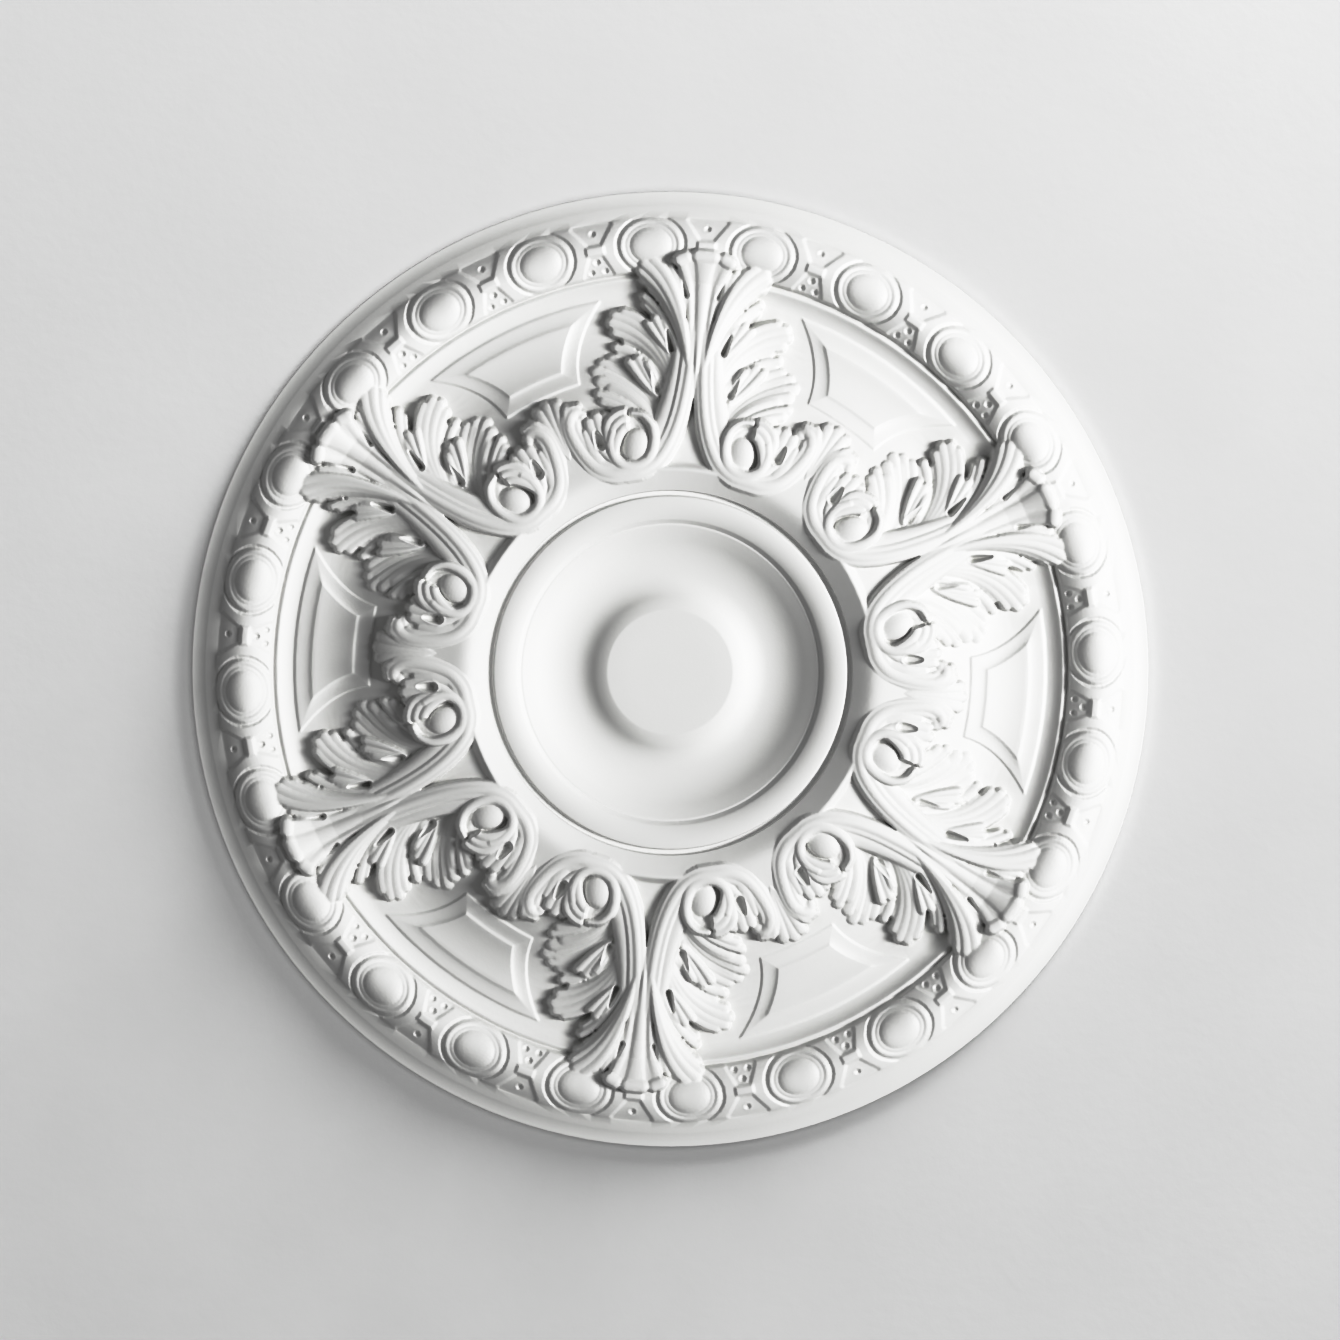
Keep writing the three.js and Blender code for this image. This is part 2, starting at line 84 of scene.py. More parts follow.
def arc(start: Flat, end: Flat, dip: float, steps: int = 12) -> list[Flat]:
    """Points on a circular arc, both ends included.

    Args:
        start: First point, as radius and height.
        end: Last point, as radius and height.
        dip: Sagitta; positive hollows a moulding that runs inwards, negative rounds it.
        steps: Number of chords.

    Returns:
        The points in order.
    """
    run, rise = end[0] - start[0], end[1] - start[1]
    chord = math.hypot(run, rise)
    radius = (chord * chord / 4.0 + dip * dip) / (2.0 * abs(dip))
    half = math.asin(chord / 2.0 / radius)
    points = []
    for k in range(steps + 1):
        angle = half * (2.0 * k / steps - 1.0)
        along = radius * math.sin(angle) + chord / 2.0
        sink = math.copysign(radius * (math.cos(angle) - math.cos(half)), dip)
        across, up = run * along - rise * sink, rise * along + run * sink
        points.append((start[0] + across / chord, start[1] + up / chord))
    return points


def level_dip(start: Flat, end: Flat) -> float:
    """Sagitta of an arc between two points that is level at the lower one."""
    run, rise = abs(end[0] - start[0]), abs(end[1] - start[1])
    angle = 2.0 * math.atan(rise / run)
    return run / math.sin(angle) * (1.0 - math.cos(angle / 2.0))


def soften(points: list[Flat], setback: float) -> list[Flat]:
    """Rounds the corners of a profile.

    Args:
        points: Profile points in order.
        setback: Distance from a corner at which its rounding starts.

    Returns:
        The profile with three points in place of each corner sharper than about 15 degrees.
    """
    rounded = [points[0]]
    for before, at, after in zip(points, points[1:], points[2:]):
        back = Vector(before) - Vector(at)
        ahead = Vector(after) - Vector(at)
        if back.length < TINY or ahead.length < TINY:
            continue
        if back.angle(ahead) > FLAT_CORNER:
            rounded.append(at)
            continue
        first = Vector(at) + back.normalized() * min(setback, back.length * ROUNDED_SHARE)
        last = Vector(at) + ahead.normalized() * min(setback, ahead.length * ROUNDED_SHARE)
        middle = (first + last + 2.0 * Vector(at)) / 4.0
        rounded += [tuple(first), tuple(middle), tuple(last)]
    return rounded + [points[-1]]


def spline(points: list[Solid], steps: int = 6) -> np.ndarray:
    """Smooth path through the points.

    Args:
        points: Points that the path passes through, as across, out and height.
        steps: Number of chords between two points.

    Returns:
        The sampled path, one row for each sample.
    """
    way = np.array([points[0], *points, points[-1]], dtype=float)
    samples = []
    for k in range(len(points) - 1):
        a, b, c, d = way[k:k + 4]
        for t in np.linspace(0.0, 1.0, steps, endpoint=False):
            samples.append(0.5 * (2.0 * b + (c - a) * t + (2.0 * a - 5.0 * b + 4.0 * c - d) * t * t
                                  + (3.0 * b - a - 3.0 * c + d) * t ** 3))
    return np.array([*samples, way[-1]])


def bow(root: Solid, bend: Solid, tip: Solid, steps: int = 14) -> np.ndarray:
    """Path that leaves the root towards the bend and ends at the tip."""
    t = np.linspace(0.0, 1.0, steps + 1)[:, None]
    return (1.0 - t) ** 2 * np.array(root) + 2.0 * t * (1.0 - t) * np.array(bend) + t * t * np.array(tip)


def beside(path: np.ndarray, distance: float, lift: float = 0.0) -> np.ndarray:
    """Path moved sideways in plan and up; a positive distance is to its left."""
    along = np.gradient(path[:, :2], axis=0)
    along /= np.linalg.norm(along, axis=1)[:, None]
    moved = path.copy()
    moved[:, 0] -= along[:, 1] * distance
    moved[:, 1] += along[:, 0] * distance
    moved[:, 2] += lift
    return moved


def from_panel(x: float, y: float, z: float) -> Solid:
    """Turns a point of the panel's own frame into the frame of the leaf."""
    sine, cosine = math.sin(HALF_SECTOR), math.cos(HALF_SECTOR)
    return (x * cosine + y * sine, y * cosine - x * sine, z)


def ease(part: np.ndarray) -> np.ndarray:
    """Smooth step from 0 to 1."""
    held = np.clip(part, 0.0, 1.0)
    return held * held * (3.0 - 2.0 * held)


def bump(place: np.ndarray, middle: float, spread: float) -> np.ndarray:
    """Smooth swell of height 1 at the middle that dies away over the spread."""
    return np.exp(-((place - middle) / spread) ** 2)


@dataclass(frozen=True)
class Mouldings:
    """Plain turned mouldings that the ornament stands on; their points are radius and height."""

    edge: Flat = (360.0, 9.2)
    rim_inner: Flat = (349.0, 13.4)
    rim_dip: float = 0.6
    fillet: Flat = (346.0, 14.4)
    crease: Flat = (341.3, 17.1)
    band_inner: float = 300.0
    band_foot: Flat = (297.8, 14.5)
    lip: Flat = (295.0, 15.5)
    cove_foot: Flat = (283.5, 9.0)
    cove_dip: float = 1.4
    ground_inner: Flat = (269.0, 9.0)
    slope: Flat = (235.0, 17.7)
    hump: Flat = (158.0, 44.0)
    hump_dip: float = -3.9
    ridge_foot: Flat = (154.3, 51.0)
    ridge: Flat = (152.5, 51.6)
    cone: Flat = (137.0, 42.6)
    groove_outer: Flat = (136.2, 37.0)
    groove_inner: Flat = (133.2, 37.0)
    ring_outer: Flat = (132.2, 41.0)
    ring_inner: Flat = (114.8, 38.6)
    ring_dip: float = -1.7
    dish_step: Flat = (111.9, 34.4)
    dish: Flat = (110.5, 34.4)
    dish_turn: Flat = (100.5, 28.4)
    dish_low: Flat = (73.0, 20.4)
    boss_foot: Flat = (58.0, 25.4)
    boss: Flat = (47.0, 31.0)
    boss_dip: float = -0.6
    boss_flat: float = 30.0
    softness: float = 0.7

    def centre(self) -> list[Flat]:
        """Profile from the middle of the boss out to the foot of the cone."""
        inwards = [
            self.cone,
            self.groove_outer,
            self.groove_inner,
            *arc(self.ring_outer, self.ring_inner, self.ring_dip),
            self.dish_step,
            self.dish,
            *arc(self.dish_turn, self.dish_low, level_dip(self.dish_turn, self.dish_low), 16),
            *arc(self.dish_low, self.boss_foot, level_dip(self.dish_low, self.boss_foot), 10)[1:],
            *arc(self.boss_foot, self.boss, self.boss_dip, 8)[1:],
            (self.boss_flat, self.boss[1]),
            (0.0, self.boss[1]),
        ]
        return soften(inwards, self.softness)[::-1]

    def carved_ground(self) -> list[Flat]:
        """Profile under the ornament, from the foot of the cone out to the crease beyond the eggs."""
        inwards = [
            self.crease,
            self.band_foot,
            *arc(self.lip, self.cove_foot, self.cove_dip),
            *arc(self.ground_inner, self.slope, level_dip(self.ground_inner, self.slope)),
            *arc(self.slope, self.hump, self.hump_dip)[1:],
            self.ridge_foot,
            self.ridge,
            self.cone,
        ]
        return inwards[::-1]

    def rim(self) -> list[Flat]:
        """Profile from the crease beyond the eggs out to the edge, and down it to the back."""
        hollow = arc(self.edge, self.rim_inner, self.rim_dip)[::-1]
        return soften([self.crease, self.fillet, *hollow, (self.edge[0], 0.0)], self.softness)

    def ground(self, radius: np.ndarray | float) -> np.ndarray | float:
        """Height of the ground under the ornament at a distance from the middle."""
        radii, heights = np.array(self.carved_ground()).T
        return np.interp(radius, radii, heights)


@dataclass(frozen=True)
class EyeCut:
    """Section of a drilled eye: sizes in half widths of the eye, rise and clearance in millimetres."""

    wall: float = 0.45
    lip: float = 1.25
    lip_spread: float = 0.2
    lip_end: float = 1.7
    lip_rise: float = 0.6
    lip_clearance: float = 4.0


class Relief:
    """Height field over the twelfth of the rose between a leaf's axis and a panel's axis."""

    def __init__(self, mouldings: Mouldings, pitch: float) -> None:
        """Lays the grid on the plain ground.

        Args:
            mouldings: The plain mouldings.
            pitch: Distance between grid points, along the radius and along the egg band.
        """
        self.mouldings = mouldings
        self.eye_cut = EyeCut()
        low, high = mouldings.cone[0], mouldings.crease[0]
        self.radii = np.linspace(low, high, round((high - low) / pitch) + 1)
        self.turns = np.linspace(0.0, HALF_SECTOR, round(HALF_SECTOR * mouldings.band_inner / pitch) + 1)
        self.steps = (self.radii[1] - self.radii[0], self.turns[1] - self.turns[0])
        self.radius, self.turn = np.meshgrid(self.radii, self.turns, indexing="ij")
        self.x = self.radius * np.sin(self.turn)
        self.y = self.radius * np.cos(self.turn)
        self.z = np.asarray(mouldings.ground(self.radius)).copy()

    def nearness(self, path: np.ndarray, widths: Widths, margin: float) -> tuple[np.ndarray, np.ndarray]:
        """Nearness of every grid point to a path.

        Args:
            path: The path, as across, out and height.
            widths: Half widths along the path.
            margin: Number of half widths up to which the nearness is worked out.

        Returns:
            The distance from the path in half widths, and the path's height at the nearest point; beyond the
            end of the path its height runs on at the last slope.
        """
        half = np.interp(np.linspace(0.0, 1.0, len(path)), (0.0, 0.5, 1.0), widths)
        reach = half.max() * margin
        low, high = path[:, :2].min(axis=0) - reach, path[:, :2].max(axis=0) + reach
        near = (self.x > low[0]) & (self.x < high[0]) & (self.y > low[1]) & (self.y < high[1])
        x, y = self.x[near], self.y[near]
        best, level = np.full(x.shape, np.inf), np.zeros(x.shape)
        for k in range(len(path) - 1):
            (ax, ay, az), (bx, by, bz) = path[k], path[k + 1]
            dx, dy = bx - ax, by - ay
            free = ((x - ax) * dx + (y - ay) * dy) / max(dx * dx + dy * dy, 1e-9)
            t = np.clip(free, 0.0, 1.0)
            share = np.hypot(x - ax - t * dx, y - ay - t * dy) / (half[k] + (half[k + 1] - half[k]) * t)
            closer = share < best
            best = np.where(closer, share, best)
            run_on = np.maximum(free, 0.0) if k == len(path) - 2 else t
            level = np.where(closer, az + (bz - az) * run_on, level)
        shares, levels = np.full(self.x.shape, np.inf), np.zeros(self.x.shape)
        shares[near], levels[near] = best, level
        return shares, levels

    def lay(self, share: np.ndarray, crest: np.ndarray | float, body: float) -> None:
        """Raises a round of this crest and body wherever it stands above the carving."""
        top = crest - body * (1.0 - np.sqrt(np.clip(1.0 - share * share, 0.0, 1.0)))
        self.z = np.where(share < 1.0, np.maximum(self.z, top), self.z)

    def stroke(self, path: np.ndarray, widths: Widths, body: float) -> None:
        """Raises a rounded rib along the path of its crest; the body is the depth of its round."""
        self.lay(*self.nearness(path, widths, 1.0), body)

    def fan(self, paths: list[np.ndarray], widths: Widths, groove: float) -> None:
        """Raises flutes side by side as one sheet, with shallow grooves between them.

        Args:
            paths: Crests of the flutes, in order, all with the same number of points.
            widths: Half widths along a flute.
            groove: Depth of the grooves.
        """
        for one, two in zip(paths, paths[1:]):
            self.web(one[:-1], two[:-1], groove)
        for path in paths:
            self.stroke(path, widths, 2.0 * groove)

    def web(self, one: np.ndarray, two: np.ndarray, groove: float, least: float = 0.8) -> None:
        """Raises a nearly flat sheet between two flutes.

        Args:
            one: Crest of the first flute.
            two: Crest of the second flute, with the same number of points.
            groove: Depth of the sheet below the crests; a fifth of it is the sheet's own round.
            least: Least half width of the sheet.
        """
        half = np.linalg.norm((one - two)[:, :2], axis=1) / 2.0
        spread = tuple(max(half[k], least) for k in (0, len(half) // 2, -1))
        self.stroke((one + two) / 2.0 - (0.0, 0.0, groove), spread, 0.2 * groove)

    def slit(self, path: np.ndarray, widths: Widths, floor: float) -> None:
        """Sinks a deep eye along a path, with a slightly raised lip.

        Args:
            path: Middle of the eye from its round end to its tail, as across, out and height of its bottom.
            widths: Half widths along the eye.
            floor: Lowest height that the eye may reach.
        """
        cut = self.eye_cut
        share, bottom = self.nearness(path, widths, cut.lip_end)
        lip = bump(share, cut.lip, cut.lip_spread) * cut.lip_rise
        lipped = (self.z > floor + cut.lip_clearance) & (share < cut.lip_end)
        self.z = np.where(lipped, self.z + lip, self.z)
        self.z -= ease((1.0 - share) / cut.wall) * np.maximum(self.z - np.maximum(bottom, floor), 0.0)

    def cells(self, radius: np.ndarray, turn: np.ndarray) -> tuple[np.ndarray, np.ndarray]:
        """Row and column of places on the grid, with their fractions."""
        return (radius - self.radii[0]) / self.steps[0], turn / self.steps[1]

    def normals(self, spots: np.ndarray) -> np.ndarray:
        """Directions that the carving faces, anywhere on the rose.

        Args:
            spots: Places, as across and out, of the whole rose.

        Returns:
            One unit direction for each place.
        """
        radius = np.linalg.norm(spots, axis=1)
        turn = np.arctan2(spots[:, 0], spots[:, 1])
        folded = np.mod(turn, 2.0 * HALF_SECTOR)
        mirrored = folded > HALF_SECTOR
        folded = np.where(mirrored, 2.0 * HALF_SECTOR - folded, folded)
        row, column = (np.clip(cell, 0.0, size - LAST_CELL)
                       for cell, size in zip(self.cells(radius, folded), self.z.shape))
        i, j = row.astype(int), column.astype(int)
        a, b = row - i, column - j
        slopes = []
        for grid in np.gradient(self.z, *self.steps):
            near = grid[i, j] * (1.0 - b) + grid[i, j + 1] * b
            far = grid[i + 1, j] * (1.0 - b) + grid[i + 1, j + 1] * b
            slopes.append(near * (1.0 - a) + far * a)
        out = slopes[0]
        round_slope = np.where(mirrored, -slopes[1], slopes[1]) / np.maximum(radius, 1.0)
        facing = np.stack((-out * np.sin(turn) - round_slope * np.cos(turn),
                           -out * np.cos(turn) + round_slope * np.sin(turn), np.ones(len(spots))), axis=1)
        return facing / np.linalg.norm(facing, axis=1)[:, None]

    def settle(self, passes: int) -> None:
        """Softens the carving as paint and mould release do, in passes over neighbouring grid points."""
        for _ in range(passes):
            wide = np.pad(self.z, ((0, 0), (1, 1)), mode="reflect")
            self.z = (wide[:, :-2] + 2.0 * wide[:, 1:-1] + wide[:, 2:]) / 4.0
            self.z[1:-1] = (self.z[:-2] + 2.0 * self.z[1:-1] + self.z[2:]) / 4.0


@dataclass(frozen=True)
class EggBand:
    """Band of eggs in double collars, with strapped darts between them.

    A roll is given by its inner and outer edge, in sizes of the egg, and by the heights of its foot and top;
    a sunk corner of a dart by its half widths at either end; a pit by side, out and radius. A wall is given by
    its width and by the share of its rise at the line that it follows.
    """

    inner: float = 300.0
    outer: float = 340.0
    crest: float = 320.0
    crest_z: float = 27.0
    edge_z: float = 17.5
    crease_at: float = 298.6
    crease_spread: float = 1.3
    crease_depth: float = 1.6
    egg: Flat = (16.0, 13.8)
    egg_rise: float = 3.8
    rolls: tuple[tuple[float, float, float, float], ...] = ((0.98, 1.2, 0.1, 1.5), (1.2, 1.5, 0.3, 2.0))
    groove: float = 1.66
    groove_depth: float = 0.7
    shield_rise: float = 1.6
    strap: Flat = (7.0, 3.4)
    strap_rise: float = 1.8
    strap_wall: Flat = (1.2, 0.4)
    recess: float = 2.0
    recess_wall: Flat = (2.6, 0.3)
    corner_gap: float = 3.6
    corner_ends: Flat = (4.0, 18.0)
    corner_in: Flat = (5.5, 12.5)
    corner_out: Flat = (5.5, 15.0)
    pits: tuple[Solid, ...] = ((0.0, 311.5, 2.4), (0.0, 333.0, 2.1), (5.4, 304.4, 2.2))
    pit_depth: float = 2.6
    pit_wall: float = 0.5
    pit_lip: Flat = (1.3, 0.25)
    pit_lip_rise: float = 0.5

    def carve(self, relief: Relief) -> None:
        """Lays the band on the relief."""
        radius = relief.radius
        across = (np.mod(relief.turn, EGG_PITCH) - EGG_PITCH / 2.0) * self.crest
        out = radius - self.crest
        fall = (self.crest_z - self.edge_z) / (self.outer - self.crest) ** 2
        level = self.crest_z - fall * out ** 2
        share = np.hypot(across / self.egg[0], out / self.egg[1])
        rise = self.egg_rise * np.sqrt(np.clip(1.0 - share ** 3.0, 0.0, 1.0))
        for low, high, foot, top in self.rolls:
            part = np.clip((share - low) / (high - low), 0.0, 1.0)
            roll = foot + (top - foot) * np.sqrt(np.clip(1.0 - (2.0 * part - 1.0) ** 2, 0.0, 1.0))
            rise = np.where(share > low, roll, rise)
        rise = np.where(share > self.rolls[-1][1], -self.groove_depth, rise)
        rise = np.where(share > self.groove, self.shield_rise + self.dart(across, radius), rise)
        inside = (radius > self.inner) & (radius < self.outer)
        relief.z = np.where(inside, level + rise, relief.z)
        crease = self.crease_depth * bump(radius, self.crease_at, self.crease_spread)
        relief.z -= np.where(inside, 0.0, crease)

    def dart(self, across: np.ndarray, radius: np.ndarray) -> np.ndarray:
        """Height of the strap and its sunk corners against the shield.

        Args:
            across: Distance from the middle of the egg.
            radius: Distance from the middle of the rose.

        Returns:
            The height at each point.
        """
        side = EGG_PITCH / 2.0 * self.crest - np.abs(across)
        out = radius - self.crest
        corners = []
        for way, widths in ((-out, self.corner_in), (out, self.corner_out)):
            corners.append(np.minimum(np.interp(way, self.corner_ends, widths) - side, way - self.corner_gap))
        width, start = self.recess_wall
        rise = -self.recess * ease(np.maximum(*corners) / width + start)
        strap = np.minimum(self.strap[0] - side, self.strap[1] - np.abs(out))
        width, start = self.strap_wall
        rise = rise + self.strap_rise * ease(strap / width + start)
        for offset, place, size in self.pits:
            pit = np.hypot(side - offset, radius - place) / size
            rise = rise - self.pit_depth * ease((1.0 - pit) / self.pit_wall)
            rise = rise + self.pit_lip_rise * bump(pit, *self.pit_lip)
        return rise


@dataclass(frozen=True)
class Panel:
    """Raised panel between two leaves: a small step, a hollow border and a field."""

    inner: float = 225.5
    outer: float = 283.0
    inner_angle: float = 7.8
    outer_angle: float = 14.6
    waist: float = 6.0
    step: float = 1.8
    step_width: float = 0.9
    border: float = 13.0
    rise: float = 3.2

    def carve(self, relief: Relief) -> None:
        """Lays the panel on the relief."""
        part = np.clip((relief.radius - self.inner) / (self.outer - self.inner), 0.0, 1.0)
        angle = np.radians(self.inner_angle + (self.outer_angle - self.inner_angle) * part)
        half = relief.radius * angle - self.waist * 4.0 * part * (1.0 - part)
        side = half - relief.radius * (HALF_SECTOR - relief.turn)
        depth = np.minimum(side, np.minimum(self.outer - relief.radius, relief.radius - self.inner))
        border = np.clip(depth / self.border, 0.0, 1.0)
        hollow = 1.0 - np.sqrt(1.0 - border ** 2)
        rise = self.step * ease(depth / self.step_width) + self.rise * hollow
        relief.z += np.where(depth > 0.0, rise, 0.0)


@dataclass(frozen=True)
class Blade:
    """Fluted blade of a lobe: flutes side by side that fan out from one root.

    The lift is the height of the tips above the ground; the clearance is their least height, by distance out.
    """

    root: Solid
    bends: tuple[Flat, Flat]
    tips: tuple[Flat, ...]
    lift: float
    flute: float = 3.0
    groove: float = 0.9
    arch: float = 5.5
    clearance: tuple[Flat, Flat] = ((290.0, 19.0), (306.0, 27.5))
    tip_inset: float = 0.8
    first_rise: float = 0.6
    root_width: float = 1.5
    spread: Flat = (0.95, 1.25)

    def paths(self, mouldings: Mouldings) -> list[np.ndarray]:
        """Crests of the blade's flutes.

        Args:
            mouldings: The plain mouldings, which the tips bend down towards.

        Returns:
            One path for each tip.
        """
        last = max(len(self.tips) - 1, 1)
        paths = []
        for k, tip in enumerate(self.tips):
            bend = Vector(self.bends[0]).lerp(Vector(self.bends[1]), k / last)
            end = Vector(tip) - (Vector(tip) - bend).normalized() * self.flute * self.tip_inset
            out = math.hypot(*tip)
            height = float(mouldings.ground(min(out, mouldings.lip[0]))) + self.lift
            height = max(height, float(np.interp(out, *zip(*self.clearance))))
            end_z = height + (self.first_rise if k == 0 else 0.0)
            paths.append(bow(self.root, (*bend, height + self.arch), (end.x, end.y, end_z)))
        return paths

    def carve(self, relief: Relief) -> None:
        """Raises the blade on the relief."""
        middle, end = self.spread
        widths = (self.root_width, self.flute * middle, self.flute * end)
        relief.fan(self.paths(relief.mouldings), widths, self.groove)


@dataclass(frozen=True)
class Lobe:
    """Lobe of a leaf: blades side by side, a leaflet above them and a drilled eye.

    The bed under the leaflet is given by how far it lies across and above the leaflet's middle flute.
    """

    blades: tuple[Blade, ...]
    leaflet: Blade
    eye: tuple[Flat, Flat]
    eye_width: float
    eye_floor: float
    eye_rise: float = 5.0
    eye_taper: Widths = (1.0, 0.8, 0.35)
    joined: float = 0.76
    join_groove: float = 1.4
    bed: Flat = (-3.0, -2.5)
    bed_length: float = 0.6
    bed_widths: Widths = (7.0, 7.0, 5.0)
    bed_body: float = 0.5

    def carve(self, relief: Relief) -> None:
        """Raises the lobe; its blades are one sheet up to the notches between them."""
        middle = self.leaflet.paths(relief.mouldings)[1]
        across, lift = self.bed
        bed = middle[:int(len(middle) * self.bed_length)] + (across, 0.0, lift)
        relief.stroke(bed, self.bed_widths, self.bed_body)
        fans = [blade.paths(relief.mouldings) for blade in self.blades]
        for one, two in zip(fans, fans[1:]):
            stop = round(len(one[-1]) * self.joined)
            relief.web(one[-1][:stop], two[0][:stop], self.join_groove)
        for blade in (*self.blades, self.leaflet):
            blade.carve(relief)

    def drill(self, relief: Relief) -> None:
        """Sinks the eye."""
        (x, y), (tail_x, tail_y) = self.eye
        path = np.linspace((x, y, self.eye_floor), (tail_x, tail_y, self.eye_floor + self.eye_rise), 8)
        relief.slit(path, tuple(self.eye_width * taper for taper in self.eye_taper), self.eye_floor)


OUTER_LOBE = Lobe(
    (
        Blade((5, 222, 40), ((13, 288), (17, 268)),
              ((41, 308), (47.5, 305), (49, 299), (46, 293), (39, 286)), lift=8.0, flute=3.2, arch=6.0),
        Blade((6.5, 216, 41.5), ((17.5, 263), (21, 248)),
              ((45, 280), (43, 274), (37, 270)), lift=5.0, flute=2.7, arch=7.5),
    ),
    Blade((11, 268, 28), ((13, 289), (20, 283)),
          ((19.5, 299), (25.5, 304), (31.5, 304.5)), lift=12.0, flute=2.1, groove=1.0, arch=3.0),
    eye=((12.0, 282), (15.5, 293)), eye_width=1.8, eye_floor=22.5,
)
MIDDLE_LOBE = Lobe(
    (
        Blade((9, 190, 46.5), ((16, 258), (22, 239)),
              ((60, 265.5), (66.5, 263), (68.5, 257), (65, 250.5), (56, 245)), lift=3.2, flute=3.3),
        Blade((10, 188, 47), ((23, 234), (28, 220)),
              ((63, 239), (60.5, 233.5), (54, 230)), lift=4.2, flute=2.8),
    ),
    Blade((18.5, 236, 31), ((21.5, 254), (30, 248)),
          ((29, 261.5), (35, 264.5), (40, 260.5)), lift=17.0, flute=2.3, groove=1.0, arch=5.0),
    eye=((19.4, 241), (24, 255)), eye_width=2.6, eye_floor=20.0,
)
INNER_LOBE = Lobe(
    (
        Blade((18, 166, 50), ((22, 217), (31, 200)),
              ((66, 230), (73, 226), (77, 219.5), (73.5, 212.5), (65, 208)), lift=4.0, flute=3.5, arch=8.5),
        Blade((19, 164, 50), ((32.5, 197), (38, 187)),
              ((73, 203.5), (69.5, 198), (63, 195)), lift=5.0, flute=2.8, arch=8.5),
    ),
    Blade((27, 205, 36), ((30, 221), (39, 214)),
          ((38.5, 230), (45.5, 233.5), (51.5, 230.5)), lift=12.5, flute=2.4, groove=1.0, arch=6.0),
    eye=((27, 210), (32.5, 223.5)), eye_width=2.9, eye_floor=29.0,
)


@dataclass(frozen=True)
class Leaf:
    """One half of an acanthus leaf, in the leaf's own frame: across and out; the crest is out and height."""

    crest: tuple[Flat, ...] = (
        (182, 49.5), (205, 46), (230, 40), (255, 33.5), (278, 30), (292, 30.5), (304, 34.5), (313, 37.5),
    )
    lobes: tuple[Lobe, ...] = (OUTER_LOBE, MIDDLE_LOBE, INNER_LOBE)
    ribs: tuple[tuple[Flat, ...], ...] = (
        ((0, 214), (0, 250), (0, 288), (0, 309)),
        ((4.0, 218), (6.6, 256), (10.4, 288), (16.5, 307)),
    )
    rib_widths: tuple[Widths, ...] = ((1.0, 4.0, 7.8), (1.2, 2.6, 5.0))
    rib_rises: Flat = (0.6, -0.3)
    rib_body: float = 2.4
    rib_drop: float = 3.0
    rib_run: float = 24.0
    bed_drop: float = 1.2
    bed_widths: Widths = (2.0, 4.0, 8.0)
    bed_body: float = 0.3
    crown: tuple[tuple[Flat, Flat], ...] = (((-6.0, 312.5), (6.0, 312.5)), ((14.5, 311.0), (19.5, 308.5)))
    crown_rises: Flat = (0.8, 0.0)
    crown_width: float = 4.8
    crown_body: float = 3.0

    def carve(self, relief: Relief) -> None:
        """Raises the lobes from the innermost out, then the ribs and the crown, then sinks the eyes."""
        for lobe in reversed(self.lobes):
            lobe.carve(relief)
        for rib, widths, rise in zip(self.ribs, self.rib_widths, self.rib_rises):
            path = spline([(x, y, 0.0) for x, y in rib], 14)
            path[:, 2] = np.interp(path[:, 1], *zip(*self.crest)) + rise
            path[:, 2] -= self.rib_drop * (1.0 - ease((path[:, 1] - path[0, 1]) / self.rib_run))
            if rib is not self.ribs[0]:
                bed = path * (0.5, 1.0, 1.0) - (0.0, 0.0, self.bed_drop)
                relief.stroke(bed, self.bed_widths, self.bed_body)
            relief.stroke(path, widths, self.rib_body)
        for (start, end), rise in zip(self.crown, self.crown_rises):
            level = self.crest[-1][1] + rise
            path = np.array([(*start, level), (*end, level)])
            relief.stroke(path, (self.crown_width,) * 3, self.crown_body)
        for lobe in self.lobes:
            lobe.drill(relief)


@dataclass(frozen=True)
class Rib:
    """Rounded rib: the points that it passes through, its half widths and the depth of its round."""

    points: tuple[Solid, ...]
    widths: Widths
    body: float

    def carve(self, relief: Relief, place: Place) -> None:
        """Raises the rib on the relief, with its points set in place."""
        relief.stroke(spline([place(*point) for point in self.points]), self.widths, self.body)


@dataclass(frozen=True)
class Button:
    """Round button: its top, its half widths across and out, and the depth of its round."""

    top: Solid
    radii: Flat
    body: float

    def carve(self, relief: Relief, place: Place) -> None:
        """Raises the button on the relief, with its top set in place."""
        x, y, z = place(*self.top)
        share = np.hypot((relief.x - x) / self.radii[0], (relief.y - y) / self.radii[1])
        relief.lay(share, z, self.body)


@dataclass(frozen=True)
class Fan:
    """Flutes that leave one root and fan out; the bends are those of the first and the last flute."""

    root: Solid
    bends: tuple[Solid, Solid]
    tips: tuple[Solid, ...]
    widths: Widths
    groove: float = 1.0

    def carve(self, relief: Relief, place: Place) -> None:
        """Raises the flutes on the relief, with their points set in place."""
        root, first, last = (np.array(place(*point)) for point in (self.root, *self.bends))
        steps = len(self.tips) - 1
        bends = [first + (last - first) * k / steps for k in range(steps + 1)]
        paths = [bow(root, bend, place(*tip)) for bend, tip in zip(bends, self.tips)]
        relief.fan(paths, self.widths, self.groove)


